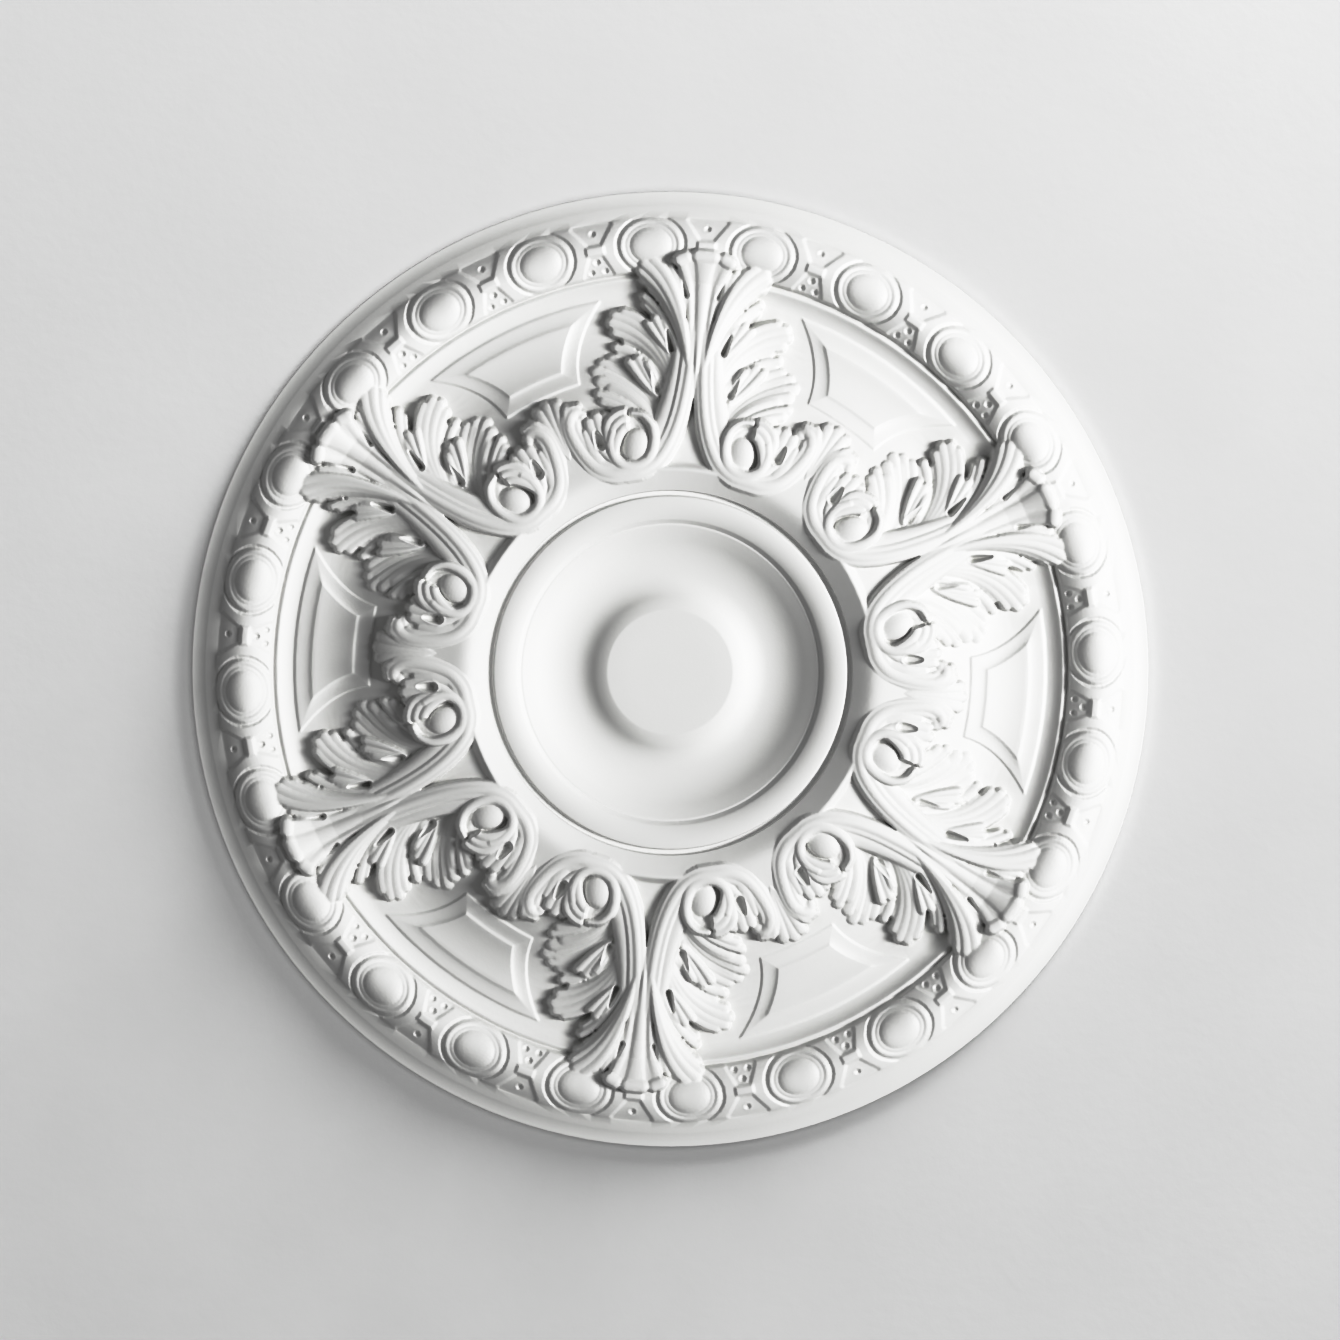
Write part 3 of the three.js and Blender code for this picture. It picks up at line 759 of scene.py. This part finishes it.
@dataclass(frozen=True)
class Saddle:
    """Filled valley between two sweeps, into which the cone runs up."""

    drop: float = 0.4
    fall: float = 0.215
    softness: float = 2.2
    half_width: float = 27.0
    fade: float = 8.0
    filled_to: float = 165.0
    outer: float = 202.0

    def carve(self, relief: Relief) -> None:
        """Lays the saddle on the relief."""
        radius = relief.radius
        side = radius * (HALF_SECTOR - relief.turn)
        (cone_radius, cone_z), (ridge_radius, ridge_z) = relief.mouldings.cone, relief.mouldings.ridge
        rising = (ridge_z - cone_z) / (ridge_radius - cone_radius)
        cone = cone_z + rising * (radius - cone_radius)
        level = ridge_z - self.drop - self.fall * (radius - ridge_radius)
        rounded = -self.softness * np.logaddexp(-cone / self.softness, -level / self.softness)
        blend = ease((self.half_width - side) / self.fade) * (radius < self.outer)
        shaped = np.where(radius > self.filled_to, np.maximum(relief.z, rounded), rounded)
        relief.z += blend * (shaped - relief.z)


@dataclass(frozen=True)
class Scroll:
    """One half of the scrollwork: the sweep from a leaf to its hook, the volute and the side leaf.

    Points are in the leaf's frame, those of the hook and the side leaf in the panel's frame, and those of the
    volute are taken from its middle. A rib of the sweep is given by its distance to the left, lift and width.
    """

    leaf_sweep: tuple[Solid, ...] = (
        (3.4, 264, 30.5), (4.7, 240, 37), (6.2, 215, 43.2), (9.5, 192, 48), (15, 173, 51), (23, 158.5, 52.5),
        (34, 150, 53), (46, 147, 53),
    )
    hook_sweep: tuple[Solid, ...] = (
        (-24, 154, 52.5), (-16, 161.5, 51.5), (-11.5, 172, 50), (-9.2, 186, 48), (-9.6, 197, 46),
        (-13.6, 204, 44), (-19, 205.5, 42.5), (-22.5, 202.5, 41),
    )
    bed_lift: float = -1.0
    bed_widths: Widths = (4.0, 7.6, 3.6)
    bed_body: float = 0.8
    lining: Flat = (9.0, -3.0)
    lining_widths: Widths = (3.0, 8.0, 7.0)
    lining_body: float = 5.0
    sweep_ribs: tuple[Solid, ...] = ((-4.9, -2.0, 3.0), (5.0, -1.2, 3.0), (0.0, 0.0, 4.1))
    rib_taper: Widths = (0.65, 1.0, 0.85)
    rib_body: float = 2.0
    side_rib_cut: int = 5
    hook_bead: Button = Button((-21.5, 201.5, 41.8), (4.6, 4.2), 3.4)
    hook_rib: Rib = Rib(((-21, 158, 51), (-17.8, 176, 49), (-18.4, 190, 46)), (4.0, 4.4, 2.6), 2.2)
    side_leaf: Fan = Fan(
        (-31, 158, 52), ((-36, 178, 49.5), (-20, 178, 49.5)),
        ((-37.5, 194, 44), (-31.5, 197, 44.5), (-25, 195.5, 45)), (2.4, 3.6, 3.9),
    )
    side_web: Rib = Rib(((-26, 156, 50.5), (-23, 170, 48), (-22, 186, 44.5)), (5.0, 6.5, 5.0), 1.0)
    eye: tuple[Flat, Flat] = ((-25.4, 176.5), (-26, 186))
    eye_widths: Widths = (3.7, 3.3, 2.0)
    eye_clearance: float = 1.0
    eye_rise: float = 2.0
    volute: Flat = (42.5, 170.5)
    bowl: Button = Button((0.0, 0.0, 43.5), (14.5, 18.0), 1.0)
    ring: Rib = Rib(
        (
            (3, 21, 48), (-6, 20, 49.5), (-13.5, 12.5, 51), (-16, 1, 52.2), (-13.5, -11, 53),
            (-6, -17.5, 53.4), (4, -18.5, 53.4), (12, -13.5, 53), (16, -4, 52.4), (15.5, 5, 51.5),
        ),
        (2.4, 4.4, 3.4), 3.0,
    )
    hood: Fan = Fan(
        (11.5, -14, 52.4), ((29, 13, 48.5), (14.5, 3, 52.5)),
        ((9, 21.5, 47.5), (7.5, 16, 49.5), (6, 10.5, 51)), (2.0, 3.6, 3.2),
    )
    cleft: tuple[Solid, Solid] = ((3.0, 10.0, 44.5), (5.0, 21, 45.0))
    cleft_widths: Widths = (1.8, 1.5, 1.2)
    bead: Button = Button((-3.5, -3.5, 51.4), (10.6, 13.2), 6.5)

    def carve(self, relief: Relief) -> None:
        """Raises the scrollwork on the relief."""
        for part in (self.side_leaf, self.side_web, self.hook_rib):
            part.carve(relief, from_panel)
        self.carve_sweep(relief)
        self.hook_bead.carve(relief, from_panel)
        for part in (self.bowl, self.ring, self.hood):
            part.carve(relief, self.at)
        start, end = (self.at(*point) for point in self.cleft)
        relief.slit(np.linspace(start, end, 6), self.cleft_widths, start[2])
        self.bead.carve(relief, self.at)
        floor = float(relief.mouldings.ground(math.hypot(*self.eye[0]))) + self.eye_clearance
        start, end = from_panel(*self.eye[0], floor), from_panel(*self.eye[1], floor + self.eye_rise)
        relief.slit(np.linspace(start, end, 6), self.eye_widths, floor)

    def carve_sweep(self, relief: Relief) -> None:
        """Raises the sweep: its bed, the lining on the leaf's side, then the ribs along it."""
        middle = spline([*self.leaf_sweep, *(from_panel(*point) for point in self.hook_sweep)])
        relief.stroke(beside(middle, 0.0, self.bed_lift), self.bed_widths, self.bed_body)
        lining = beside(spline(list(self.leaf_sweep[:-1])), *self.lining)
        relief.stroke(lining, self.lining_widths, self.lining_body)
        for side, lift, width in self.sweep_ribs:
            end = -self.side_rib_cut if side else None
            widths = tuple(taper * width for taper in self.rib_taper)
            relief.stroke(beside(middle, side, lift)[:end], widths, self.rib_body)

    def at(self, x: float, y: float, z: float) -> Solid:
        """Turns a point taken from the middle of the volute into the frame of the leaf."""
        return (self.volute[0] + x, self.volute[1] + y, z)


@dataclass(frozen=True)
class Palmette:
    """One half of the shell of fingers between two hooks, in the panel's frame."""

    root: Solid = (0.0, 176, 46.5)
    bend_share: float = 0.6
    bend_out: float = 205.0
    bend_z: float = 45.0
    tips: tuple[Solid, ...] = ((0.0, 222, 10.0), (-7.6, 220, 10.5), (-14.2, 213.5, 13.0))
    tip_inset: float = 3.0
    widths: Widths = (1.2, 3.4, 4.3)
    body: float = 2.6

    def carve(self, relief: Relief) -> None:
        """Raises the fingers on the relief; the third size of a tip is its height above the ground."""
        for x, y, lift in self.tips:
            tip = (x, y - self.tip_inset, float(relief.mouldings.ground(math.hypot(x, y))) + lift)
            bend = (x * self.bend_share, self.bend_out, self.bend_z)
            finger = bow(*(from_panel(*point) for point in (self.root, bend, tip)))
            relief.stroke(finger, self.widths, self.body)


def linear(hex_colour: str) -> tuple[float, float, float, float]:
    """Turns an sRGB hex colour into linear red, green, blue and alpha."""
    parts = [int(hex_colour[k:k + 2], 16) / 255.0 for k in (1, 3, 5)]
    return (*(p / 12.92 if p <= 0.04045 else ((p + 0.055) / 1.055) ** 2.4 for p in parts), 1.0)


def add_node(
    tree: bpy.types.NodeTree, kind: str, values: dict | None = None, links: dict | None = None, **settings
) -> bpy.types.Node:
    """Adds a node to a tree.

    Args:
        tree: Tree that gets the node.
        kind: Blender's name for the kind of node.
        values: Input name or number to its constant value.
        links: Input name or number to the output socket that feeds it.
        **settings: Attributes of the node itself.

    Returns:
        The new node.
    """
    node = tree.nodes.new(kind)
    for name, value in settings.items():
        setattr(node, name, value)
    for name, value in (values or {}).items():
        node.inputs[name].default_value = value
    for name, socket in (links or {}).items():
        tree.links.new(socket, node.inputs[name])
    return node


# Numbers of the inputs and of the result of a mix node when it mixes colours.
MIX_SHARE, MIX_FIRST, MIX_SECOND, MIX_RESULT = 0, 6, 7, 2


@dataclass(frozen=True)
class MattFinish:
    """Matt white coat: a tone that drifts slightly, a fine grain, and painted shade that greys the recesses.
    """

    name: str
    tone: str
    tone_low: str
    roughness: float
    drift_mm: float
    grain_mm: float
    grain_depth_mm: float
    # Painted shade: a greyer colour mixed into the recesses by their depth, and its share at full depth.
    painted_shade: str = ""
    painted_shade_share: float = 0.0
    drift_layers: Flat = (4.0, 0.6)
    grain_layers: Flat = (3.0, 0.55)
    roughness_drift: Flat = (-0.05, 0.07)
    refraction: float = 1.48

    def material(self) -> bpy.types.Material:
        """Builds the material with its nodes."""
        made = bpy.data.materials.new(self.name)
        made.use_nodes = True
        tree = made.node_tree
        tree.nodes.clear()
        drift = self.noise(tree, self.drift_mm, self.drift_layers)
        tones = {MIX_FIRST: linear(self.tone), MIX_SECOND: linear(self.tone_low)}
        mixed = add_node(tree, "ShaderNodeMix", tones, {MIX_SHARE: drift}, data_type="RGBA")
        colour = mixed.outputs[MIX_RESULT]
        # Painted shade: the recesses are darkened towards a greyer colour, by how deep they lie.
        if self.painted_shade:
            recess = add_node(tree, "ShaderNodeAttribute", attribute_name="recess").outputs["Fac"]
            share = add_node(tree, "ShaderNodeMath", {1: self.painted_shade_share}, {0: recess}, operation="MULTIPLY",
                             use_clamp=True)
            with_painted_shade = add_node(tree, "ShaderNodeMix", {MIX_SECOND: linear(self.painted_shade)},
                             {MIX_SHARE: share.outputs[0], MIX_FIRST: colour}, data_type="RGBA")
            colour = with_painted_shade.outputs[MIX_RESULT]
        grain = self.noise(tree, self.grain_mm, self.grain_layers)
        peel = add_node(tree, "ShaderNodeBump", {"Strength": 1.0, "Distance": self.grain_depth_mm * MM},
                        {"Height": grain})
        low, high = (self.roughness + change for change in self.roughness_drift)
        rough = add_node(tree, "ShaderNodeMapRange", {"To Min": low, "To Max": high}, {"Value": grain})
        shader = add_node(tree, "ShaderNodeBsdfPrincipled", {"IOR": self.refraction, "Metallic": 0.0}, {
            "Base Color": colour, "Roughness": rough.outputs["Result"], "Normal": peel.outputs["Normal"]})
        add_node(tree, "ShaderNodeOutputMaterial", links={"Surface": shader.outputs["BSDF"]})
        return made

    @staticmethod
    def noise(tree: bpy.types.NodeTree, size_mm: float, layers: Flat) -> bpy.types.NodeSocket:
        """Adds a noise with lumps of this size, and finer layers by number and share, and gives its socket."""
        place = add_node(tree, "ShaderNodeTexCoord").outputs["Object"]
        values = {"Scale": 1.0 / (size_mm * MM), "Detail": layers[0], "Roughness": layers[1]}
        return add_node(tree, "ShaderNodeTexNoise", values, {"Vector": place}).outputs["Fac"]


# Rigid polyurethane, moulded and factory primed: an even matt white with the faint peel of sprayed primer.
# The peel is drawn at 2.4 mm, coarser than real, so that it shows at all.
# Its grey #CFCFCD is painted shade in the recesses.
PRIMED_POLYURETHANE = MattFinish(
    "primed_polyurethane", tone="#E6E6E5", tone_low="#E1E1E0", roughness=0.62, drift_mm=70.0, grain_mm=2.4,
    grain_depth_mm=0.05, painted_shade="#CFCFCD", painted_shade_share=0.8,
)

# Skimmed and painted plaster: pale grey-white with trowel drift over a hand's breadth.
PAINTED_PLASTER = MattFinish(
    "painted_plaster", tone="#C9C9C9", tone_low="#C2C2C2", roughness=0.8, drift_mm=160.0, grain_mm=9.0,
    grain_depth_mm=0.12,
)


def read(items: bpy.types.bpy_prop_collection, name: str, width: int, kind: type) -> np.ndarray:
    """Reads one attribute of all points, edges or corners of a mesh, in rows of the given width."""
    values = np.empty(len(items) * width, dtype=kind)
    items.foreach_get(name, values)
    return values.reshape(-1, width) if width > 1 else values


@dataclass(frozen=True)
class Rose:
    """The whole moulding: plain mouldings, ornament, and the mesh made from them."""

    mouldings: Mouldings = Mouldings()
    eggs: EggBand = EggBand()
    panel: Panel = Panel()
    leaf: Leaf = Leaf()
    saddle: Saddle = Saddle()
    scroll: Scroll = Scroll()
    palmette: Palmette = Palmette()
    pitch: float = 0.65
    plain_steps: int = 12
    settle_passes: int = 2
    sector_faces: int = 15800
    weld: float = 0.02
    crease_angle: float = 40.0
    shade_reach: float = 0.9
    recess_reach: float = 5.0
    recess_depth: float = 6.0
    face_from: float = 5.0

    def build(self) -> bpy.types.Object:
        """Carves one twelfth, thins it and repeats it round the middle.

        Returns:
            The finished piece.
        """
        relief = Relief(self.mouldings, self.pitch)
        for ornament in (self.panel, self.eggs, self.saddle, self.scroll, self.palmette, self.leaf):
            ornament.carve(relief)
        relief.settle(self.settle_passes)
        rose = self.sector(relief)
        self.thin(rose)
        self.mark_recesses(rose.data, relief)
        self.repeat(rose)
        self.shade(rose.data, relief)
        rose.name = "ceiling_rose_moulding"
        return rose

    def sector(self, relief: Relief) -> bpy.types.Object:
        """Joins the carved grid to the plain mouldings in one sheet, back included.

        Args:
            relief: The carved height field.

        Returns:
            The sheet for one twelfth, with the carved points in a vertex group.
        """
        plain = np.linspace(0.0, HALF_SECTOR, self.plain_steps + 1)
        rings: list[tuple[float, np.ndarray, np.ndarray | float, bool]] = []
        for radius, height in self.mouldings.centre()[:-1]:
            rings.append((radius, plain if radius > 0.0 else plain[:1], height, False))
        for k, radius in enumerate(relief.radii):
            rings.append((radius, relief.turns, relief.z[k], 0 < k < len(relief.radii) - 1))
        for radius, height in self.mouldings.rim()[1:]:
            rings.append((radius, plain, height, False))
        rings.append((0.0, plain[:1], 0.0, False))
        vertices, carved, starts = [], [], []
        for radius, turns, heights, is_carved in rings:
            starts.append(len(vertices))
            level = np.broadcast_to(heights, turns.shape)
            vertices += list(zip(radius * np.sin(turns) * MM, radius * np.cos(turns) * MM, level * MM))
            carved += range(starts[-1], len(vertices)) if is_carved else ()
        faces = []
        for (one, start_one), (two, start_two) in zip(zip(rings, starts), zip(rings[1:], starts[1:])):
            faces += self.stitch(one[1], start_one, two[1], start_two)
        mesh = bpy.data.meshes.new("sector")
        mesh.from_pydata(vertices, [], faces)
        sheet = bpy.data.objects.new("sector", mesh)
        bpy.context.scene.collection.objects.link(sheet)
        sheet.vertex_groups.new(name="carved").add(carved, 1.0, "REPLACE")
        return sheet

    @staticmethod
    def stitch(
        inner: np.ndarray, inner_start: int, outer: np.ndarray, outer_start: int
    ) -> list[tuple[int, int, int]]:
        """Triangles between two rings of points that may differ in number.

        Args:
            inner: Turns of the first ring's points.
            inner_start: Index of its first point.
            outer: Turns of the second ring's points.
            outer_start: Index of its first point.

        Returns:
            The triangles, facing up.
        """
        triangles = []
        i, j = 0, 0
        while i < len(inner) - 1 or j < len(outer) - 1:
            step_inner = j == len(outer) - 1 or (i < len(inner) - 1 and inner[i + 1] <= outer[j + 1])
            if step_inner:
                triangles.append((inner_start + i, inner_start + i + 1, outer_start + j))
                i += 1
            else:
                triangles.append((inner_start + i, outer_start + j + 1, outer_start + j))
                j += 1
        return triangles

    def thin(self, sheet: bpy.types.Object) -> None:
        """Thins the sheet's carved grid where it is smooth, and sets its edges back on the mirror planes."""
        modifier = sheet.modifiers.new("thin", "DECIMATE")
        modifier.ratio = self.sector_faces / len(sheet.data.polygons)
        modifier.use_collapse_triangulate = True
        modifier.vertex_group = "carved"
        modifier.vertex_group_factor = 1.0
        mesh = self.applied(sheet)
        uses = np.zeros(len(mesh.edges), dtype=int)
        np.add.at(uses, read(mesh.loops, "edge_index", 1, np.int32), 1)
        border = np.unique(read(mesh.edges, "vertices", 2, np.int32)[uses == 1])
        places = read(mesh.vertices, "co", 3, float)
        radius = np.hypot(places[border, 0], places[border, 1])
        turn = np.arctan2(places[border, 0], places[border, 1])
        turn = np.where(turn > HALF_SECTOR / 2.0, HALF_SECTOR, 0.0)
        places[border, 0], places[border, 1] = radius * np.sin(turn), radius * np.cos(turn)
        mesh.vertices.foreach_set("co", places.ravel())
        mesh.update()

    @staticmethod
    def applied(piece: bpy.types.Object) -> bpy.types.Mesh:
        """Turns a piece's modifiers into the plain mesh that it then holds."""
        evaluated = piece.evaluated_get(bpy.context.evaluated_depsgraph_get())
        mesh = bpy.data.meshes.new_from_object(evaluated)
        piece.modifiers.clear()
        old, piece.data = piece.data, mesh
        bpy.data.meshes.remove(old)
        return mesh

    def mark_recesses(self, mesh: bpy.types.Mesh, relief: Relief) -> None:
        """Stores how deep each point lies below its surroundings, as the mask of the painted shade in the
        recesses.

        Args:
            mesh: Mesh of one twelfth.
            relief: The carved height field.
        """
        wide = relief.z.copy()
        span = round(self.recess_reach / self.pitch)
        for axis in (0, 1):
            padded = np.pad(wide, [(span, span) if k == axis else (0, 0) for k in (0, 1)], mode="edge")
            total = np.cumsum(padded, axis=axis)
            size = wide.shape[axis]
            high = np.take(total, np.arange(2 * span, 2 * span + size), axis=axis)
            low = np.take(total, np.arange(size), axis=axis)
            wide = (high - low) / (2.0 * span)
        # This depth is the mask of the painted shade that darkens the recesses.
        depth = np.clip((wide - relief.z) / self.recess_depth, 0.0, 1.0)
        x, y, z = read(mesh.vertices, "co", 3, float).T / MM
        row, column = (np.rint(cell) for cell in relief.cells(np.hypot(x, y), np.arctan2(x, y)))
        rows, columns = depth.shape
        on_grid = (row >= 0) & (row < rows) & (z > self.face_from)
        row, column = np.clip(row, 0, rows - 1).astype(int), np.clip(column, 0, columns - 1).astype(int)
        values = np.where(on_grid, depth[row, column], 0.0)
        mesh.attributes.new("recess", "FLOAT", "POINT").data.foreach_set("value", values.astype(np.float32))

    def repeat(self, sector: bpy.types.Object) -> None:
        """Mirrors the twelfth and turns the pair to every leaf, so that the object holds the whole rose.

        Args:
            sector: The thinned twelfth.
        """
        tree = self.repeat_tree()
        modifier = sector.modifiers.new("repeat", "NODES")
        modifier.node_group = tree
        sockets = {item.name: item.identifier for item in tree.interface.items_tree if item.in_out == "INPUT"}
        modifier[sockets["Leaves"]] = Symmetry.LEAVES.value
        modifier[sockets["Weld"]] = self.weld * MM
        modifier[sockets["Finish"]] = PRIMED_POLYURETHANE.material()
        mesh = self.applied(sector)
        edit = bmesh.new()
        edit.from_mesh(mesh)
        bmesh.ops.recalc_face_normals(edit, faces=edit.faces)
        open_edges = sum(not edge.is_manifold for edge in edit.edges)
        LOG.info("volume %.5f m3, open edges %d", edit.calc_volume(signed=True), open_edges)
        edit.to_mesh(mesh)
        edit.free()
        mesh.polygons.foreach_set("use_smooth", np.ones(len(mesh.polygons), dtype=bool))
        mesh.set_sharp_from_angle(angle=math.radians(self.crease_angle))
        mesh.update()

    def shade(self, mesh: bpy.types.Mesh, relief: Relief) -> None:
        """Gives corners of carved faces the slope of the carving beside them, so thinning leaves no smears.

        Args:
            mesh: Mesh of the whole rose.
            relief: The carved height field.
        """
        normals = read(mesh.corner_normals, "vector", 3, np.float32)
        owner = read(mesh.loops, "vertex_index", 1, np.int32)
        corner = read(mesh.vertices, "co", 3, np.float32)[owner] / MM
        middle = np.repeat(corner.reshape(-1, 3, 3).mean(axis=1), 3, axis=0)
        inwards = (middle - corner)[:, :2]
        length = np.linalg.norm(inwards, axis=1)
        spot = corner[:, :2] + inwards * np.minimum(1.0, self.shade_reach / np.maximum(length, TINY))[:, None]
        radius = np.linalg.norm(corner[:, :2], axis=1)
        carved = (radius > relief.radii[1]) & (radius < relief.radii[-2]) & (corner[:, 2] > self.face_from)
        normals[carved] = relief.normals(spot)[carved]
        mesh.normals_split_custom_set(normals.tolist())

    @staticmethod
    def repeat_tree() -> bpy.types.NodeTree:
        """Node tree that mirrors a twelfth, repeats it round +Z, welds it and gives it its finish."""
        tree = bpy.data.node_groups.new("repeat_round_middle", "GeometryNodeTree")
        inputs = {"Geometry": "Geometry", "Leaves": "Int", "Weld": "Float", "Finish": "Material"}
        for name, kind in inputs.items():
            tree.interface.new_socket(name, in_out="INPUT", socket_type=f"NodeSocket{kind}")
        tree.interface.new_socket("Geometry", in_out="OUTPUT", socket_type="NodeSocketGeometry")
        start = add_node(tree, "NodeGroupInput").outputs
        mirrored = add_node(tree, "GeometryNodeTransform", {"Scale": (-1.0, 1.0, 1.0)},
                            {"Geometry": start["Geometry"]})
        turned = add_node(tree, "GeometryNodeFlipFaces", links={"Mesh": mirrored.outputs["Geometry"]})
        pair = add_node(tree, "GeometryNodeJoinGeometry")
        tree.links.new(start["Geometry"], pair.inputs[0])
        tree.links.new(turned.outputs["Mesh"], pair.inputs[0])
        points = add_node(tree, "GeometryNodePoints", links={"Count": start["Leaves"]})
        index = add_node(tree, "GeometryNodeInputIndex").outputs["Index"]
        step = add_node(tree, "ShaderNodeMath", {0: 2.0 * math.pi}, {1: start["Leaves"]}, operation="DIVIDE")
        angle = add_node(tree, "ShaderNodeMath", links={0: index, 1: step.outputs[0]}, operation="MULTIPLY")
        euler = add_node(tree, "ShaderNodeCombineXYZ", links={"Z": angle.outputs[0]})
        turn = add_node(tree, "FunctionNodeEulerToRotation", links={0: euler.outputs[0]})
        copies = add_node(tree, "GeometryNodeInstanceOnPoints", links={
            "Points": points.outputs[0], "Instance": pair.outputs[0], "Rotation": turn.outputs[0]})
        real = add_node(tree, "GeometryNodeRealizeInstances", links={"Geometry": copies.outputs[0]})
        welded = add_node(tree, "GeometryNodeMergeByDistance", links={
            "Geometry": real.outputs[0], "Distance": start["Weld"]})
        dressed = add_node(tree, "GeometryNodeSetMaterial", links={
            "Geometry": welded.outputs[0], "Material": start["Finish"]})
        add_node(tree, "NodeGroupOutput", links={0: dressed.outputs[0]})
        return tree


@dataclass(frozen=True)
class Stage:
    """Plaster surface, lights and the camera of the photograph.

    The surface and the lights are in metres, angles in degrees; the response pairs light with shown tone.
    """

    roll: float = 4.9
    tilt: float = 3.0
    frame_width: float = 1010.0
    distance: float = 6000.0
    sensor: float = 36.0
    view_end: float = 50.0
    floor_size: float = 9.0
    key_azimuth: float = 88.0
    key_zenith: float = 47.0
    key_distance: float = 6.0
    key_power: float = 815.0
    key_size: float = 2.6
    key_turn: float = 60.0
    wash_azimuth: float = 36.0
    wash_zenith: float = 74.0
    wash_distance: float = 4.2
    wash_power: float = 300.0
    wash_size: float = 2.4
    fill_height: float = 3.0
    fill_strength: float = 1.9
    fill_angle: float = 60.0
    sky: float = 0.17
    white: float = 1.4
    response: tuple[Flat, ...] = ((0.08, 0.03), (0.17, 0.085), (0.37, 0.205), (0.745, 0.75), (1.03, 0.945))

    def direction(self, azimuth: float, zenith: float) -> Vector:
        """Direction towards a light.

        Args:
            azimuth: Degrees clockwise from the top of the picture.
            zenith: Degrees from the line to the camera.

        Returns:
            The unit vector from the rose to the light.
        """
        turn = math.radians(azimuth - self.roll)
        tilt = math.radians(zenith)
        return Vector((math.sin(turn) * math.sin(tilt), math.cos(turn) * math.sin(tilt), math.cos(tilt)))

    @staticmethod
    def hang(
        lamp: bpy.types.Light, lit: bpy.types.Collection, place: Vector, aim: Vector, **settings
    ) -> None:
        """Sets a light, hangs it and aims it.

        Args:
            lamp: The light.
            lit: Collection that says what it lights.
            place: Where it hangs.
            aim: Point that its beam is centred on.
            **settings: Attributes of the light.
        """
        for name, value in settings.items():
            setattr(lamp, name, value)
        holder = bpy.data.objects.new(lamp.name, lamp)
        holder.location = place
        holder.rotation_euler = (place - aim).to_track_quat("Z", "Y").to_euler()
        holder.light_linking.receiver_collection = lit
        bpy.context.scene.collection.objects.link(holder)

    def lights(self, floor: bpy.types.Object) -> None:
        """Makes the soft key from the right, the fill and wash of the surface only, and the faint sky.

        Args:
            floor: The plaster surface.
        """
        surface_only = bpy.data.collections.new("surface_only")
        surface_only.objects.link(floor)
        all_but_surface = bpy.data.collections.new("all_but_surface")
        all_but_surface.objects.link(floor)
        all_but_surface.collection_objects[0].light_linking.link_state = "EXCLUDE"
        make = bpy.data.lights.new
        place = self.direction(self.key_azimuth, self.key_zenith) * self.key_distance
        aim = self.direction(0.0, 90.0) * self.key_distance * math.tan(math.radians(self.key_turn))
        self.hang(make("key_light", "AREA"), all_but_surface, place, aim,
                  shape="DISK", energy=self.key_power, size=self.key_size)
        place = Vector((0.0, 0.0, self.fill_height))
        self.hang(make("surface_fill", "SUN"), surface_only, place, Vector(),
                  energy=self.fill_strength, angle=math.radians(self.fill_angle))
        place = self.direction(self.wash_azimuth, self.wash_zenith) * self.wash_distance
        self.hang(make("wash_light", "AREA"), surface_only, place, Vector(),
                  energy=self.wash_power, size=self.wash_size)
        world = bpy.data.worlds.new("studio")
        world.use_nodes = True
        sky = world.node_tree.nodes["Background"].inputs
        sky["Color"].default_value = (1.0, 1.0, 1.0, 1.0)
        sky["Strength"].default_value = self.sky
        bpy.context.scene.world = world

    def build(self) -> None:
        """Makes the surface, the lights and the camera."""
        scene = bpy.context.scene
        half = self.floor_size / 2.0
        corners = [(-half, -half, 0.0), (half, -half, 0.0), (half, half, 0.0), (-half, half, 0.0)]
        mesh = bpy.data.meshes.new("plaster_surface")
        mesh.from_pydata(corners, [], [(0, 1, 2, 3)])
        mesh.materials.append(PAINTED_PLASTER.material())
        floor = bpy.data.objects.new("plaster_surface", mesh)
        scene.collection.objects.link(floor)
        self.lights(floor)
        scene.view_settings.view_transform = "Standard"
        scene.view_settings.use_curve_mapping = True
        response = scene.view_settings.curve_mapping
        response.white_level = (self.white, self.white, self.white)
        combined = response.curves[3]
        for light, shown in self.response:
            combined.points.new(light / self.white, shown)
        response.update()
        lens = bpy.data.cameras.new("camera")
        lens.sensor_width = self.sensor
        lens.lens = self.sensor * self.distance / self.frame_width
        lens.clip_end = self.view_end
        camera = bpy.data.objects.new("camera", lens)
        camera.location = self.direction(0.0, self.tilt) * self.distance * MM
        camera.rotation_euler = (-math.radians(self.tilt), 0.0, math.radians(self.roll))
        scene.collection.objects.link(camera)
        scene.camera = camera


def main() -> None:
    """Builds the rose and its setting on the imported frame."""
    logging.basicConfig(level=logging.INFO, format="%(name)s: %(message)s")
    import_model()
    Stage().build()
    rose = Rose().build()
    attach(rose, "root")
    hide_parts("ceiling_rose")
    LOG.info("%s: %d triangles", rose.name, len(rose.data.polygons))


if __name__ == "__main__":
    main()
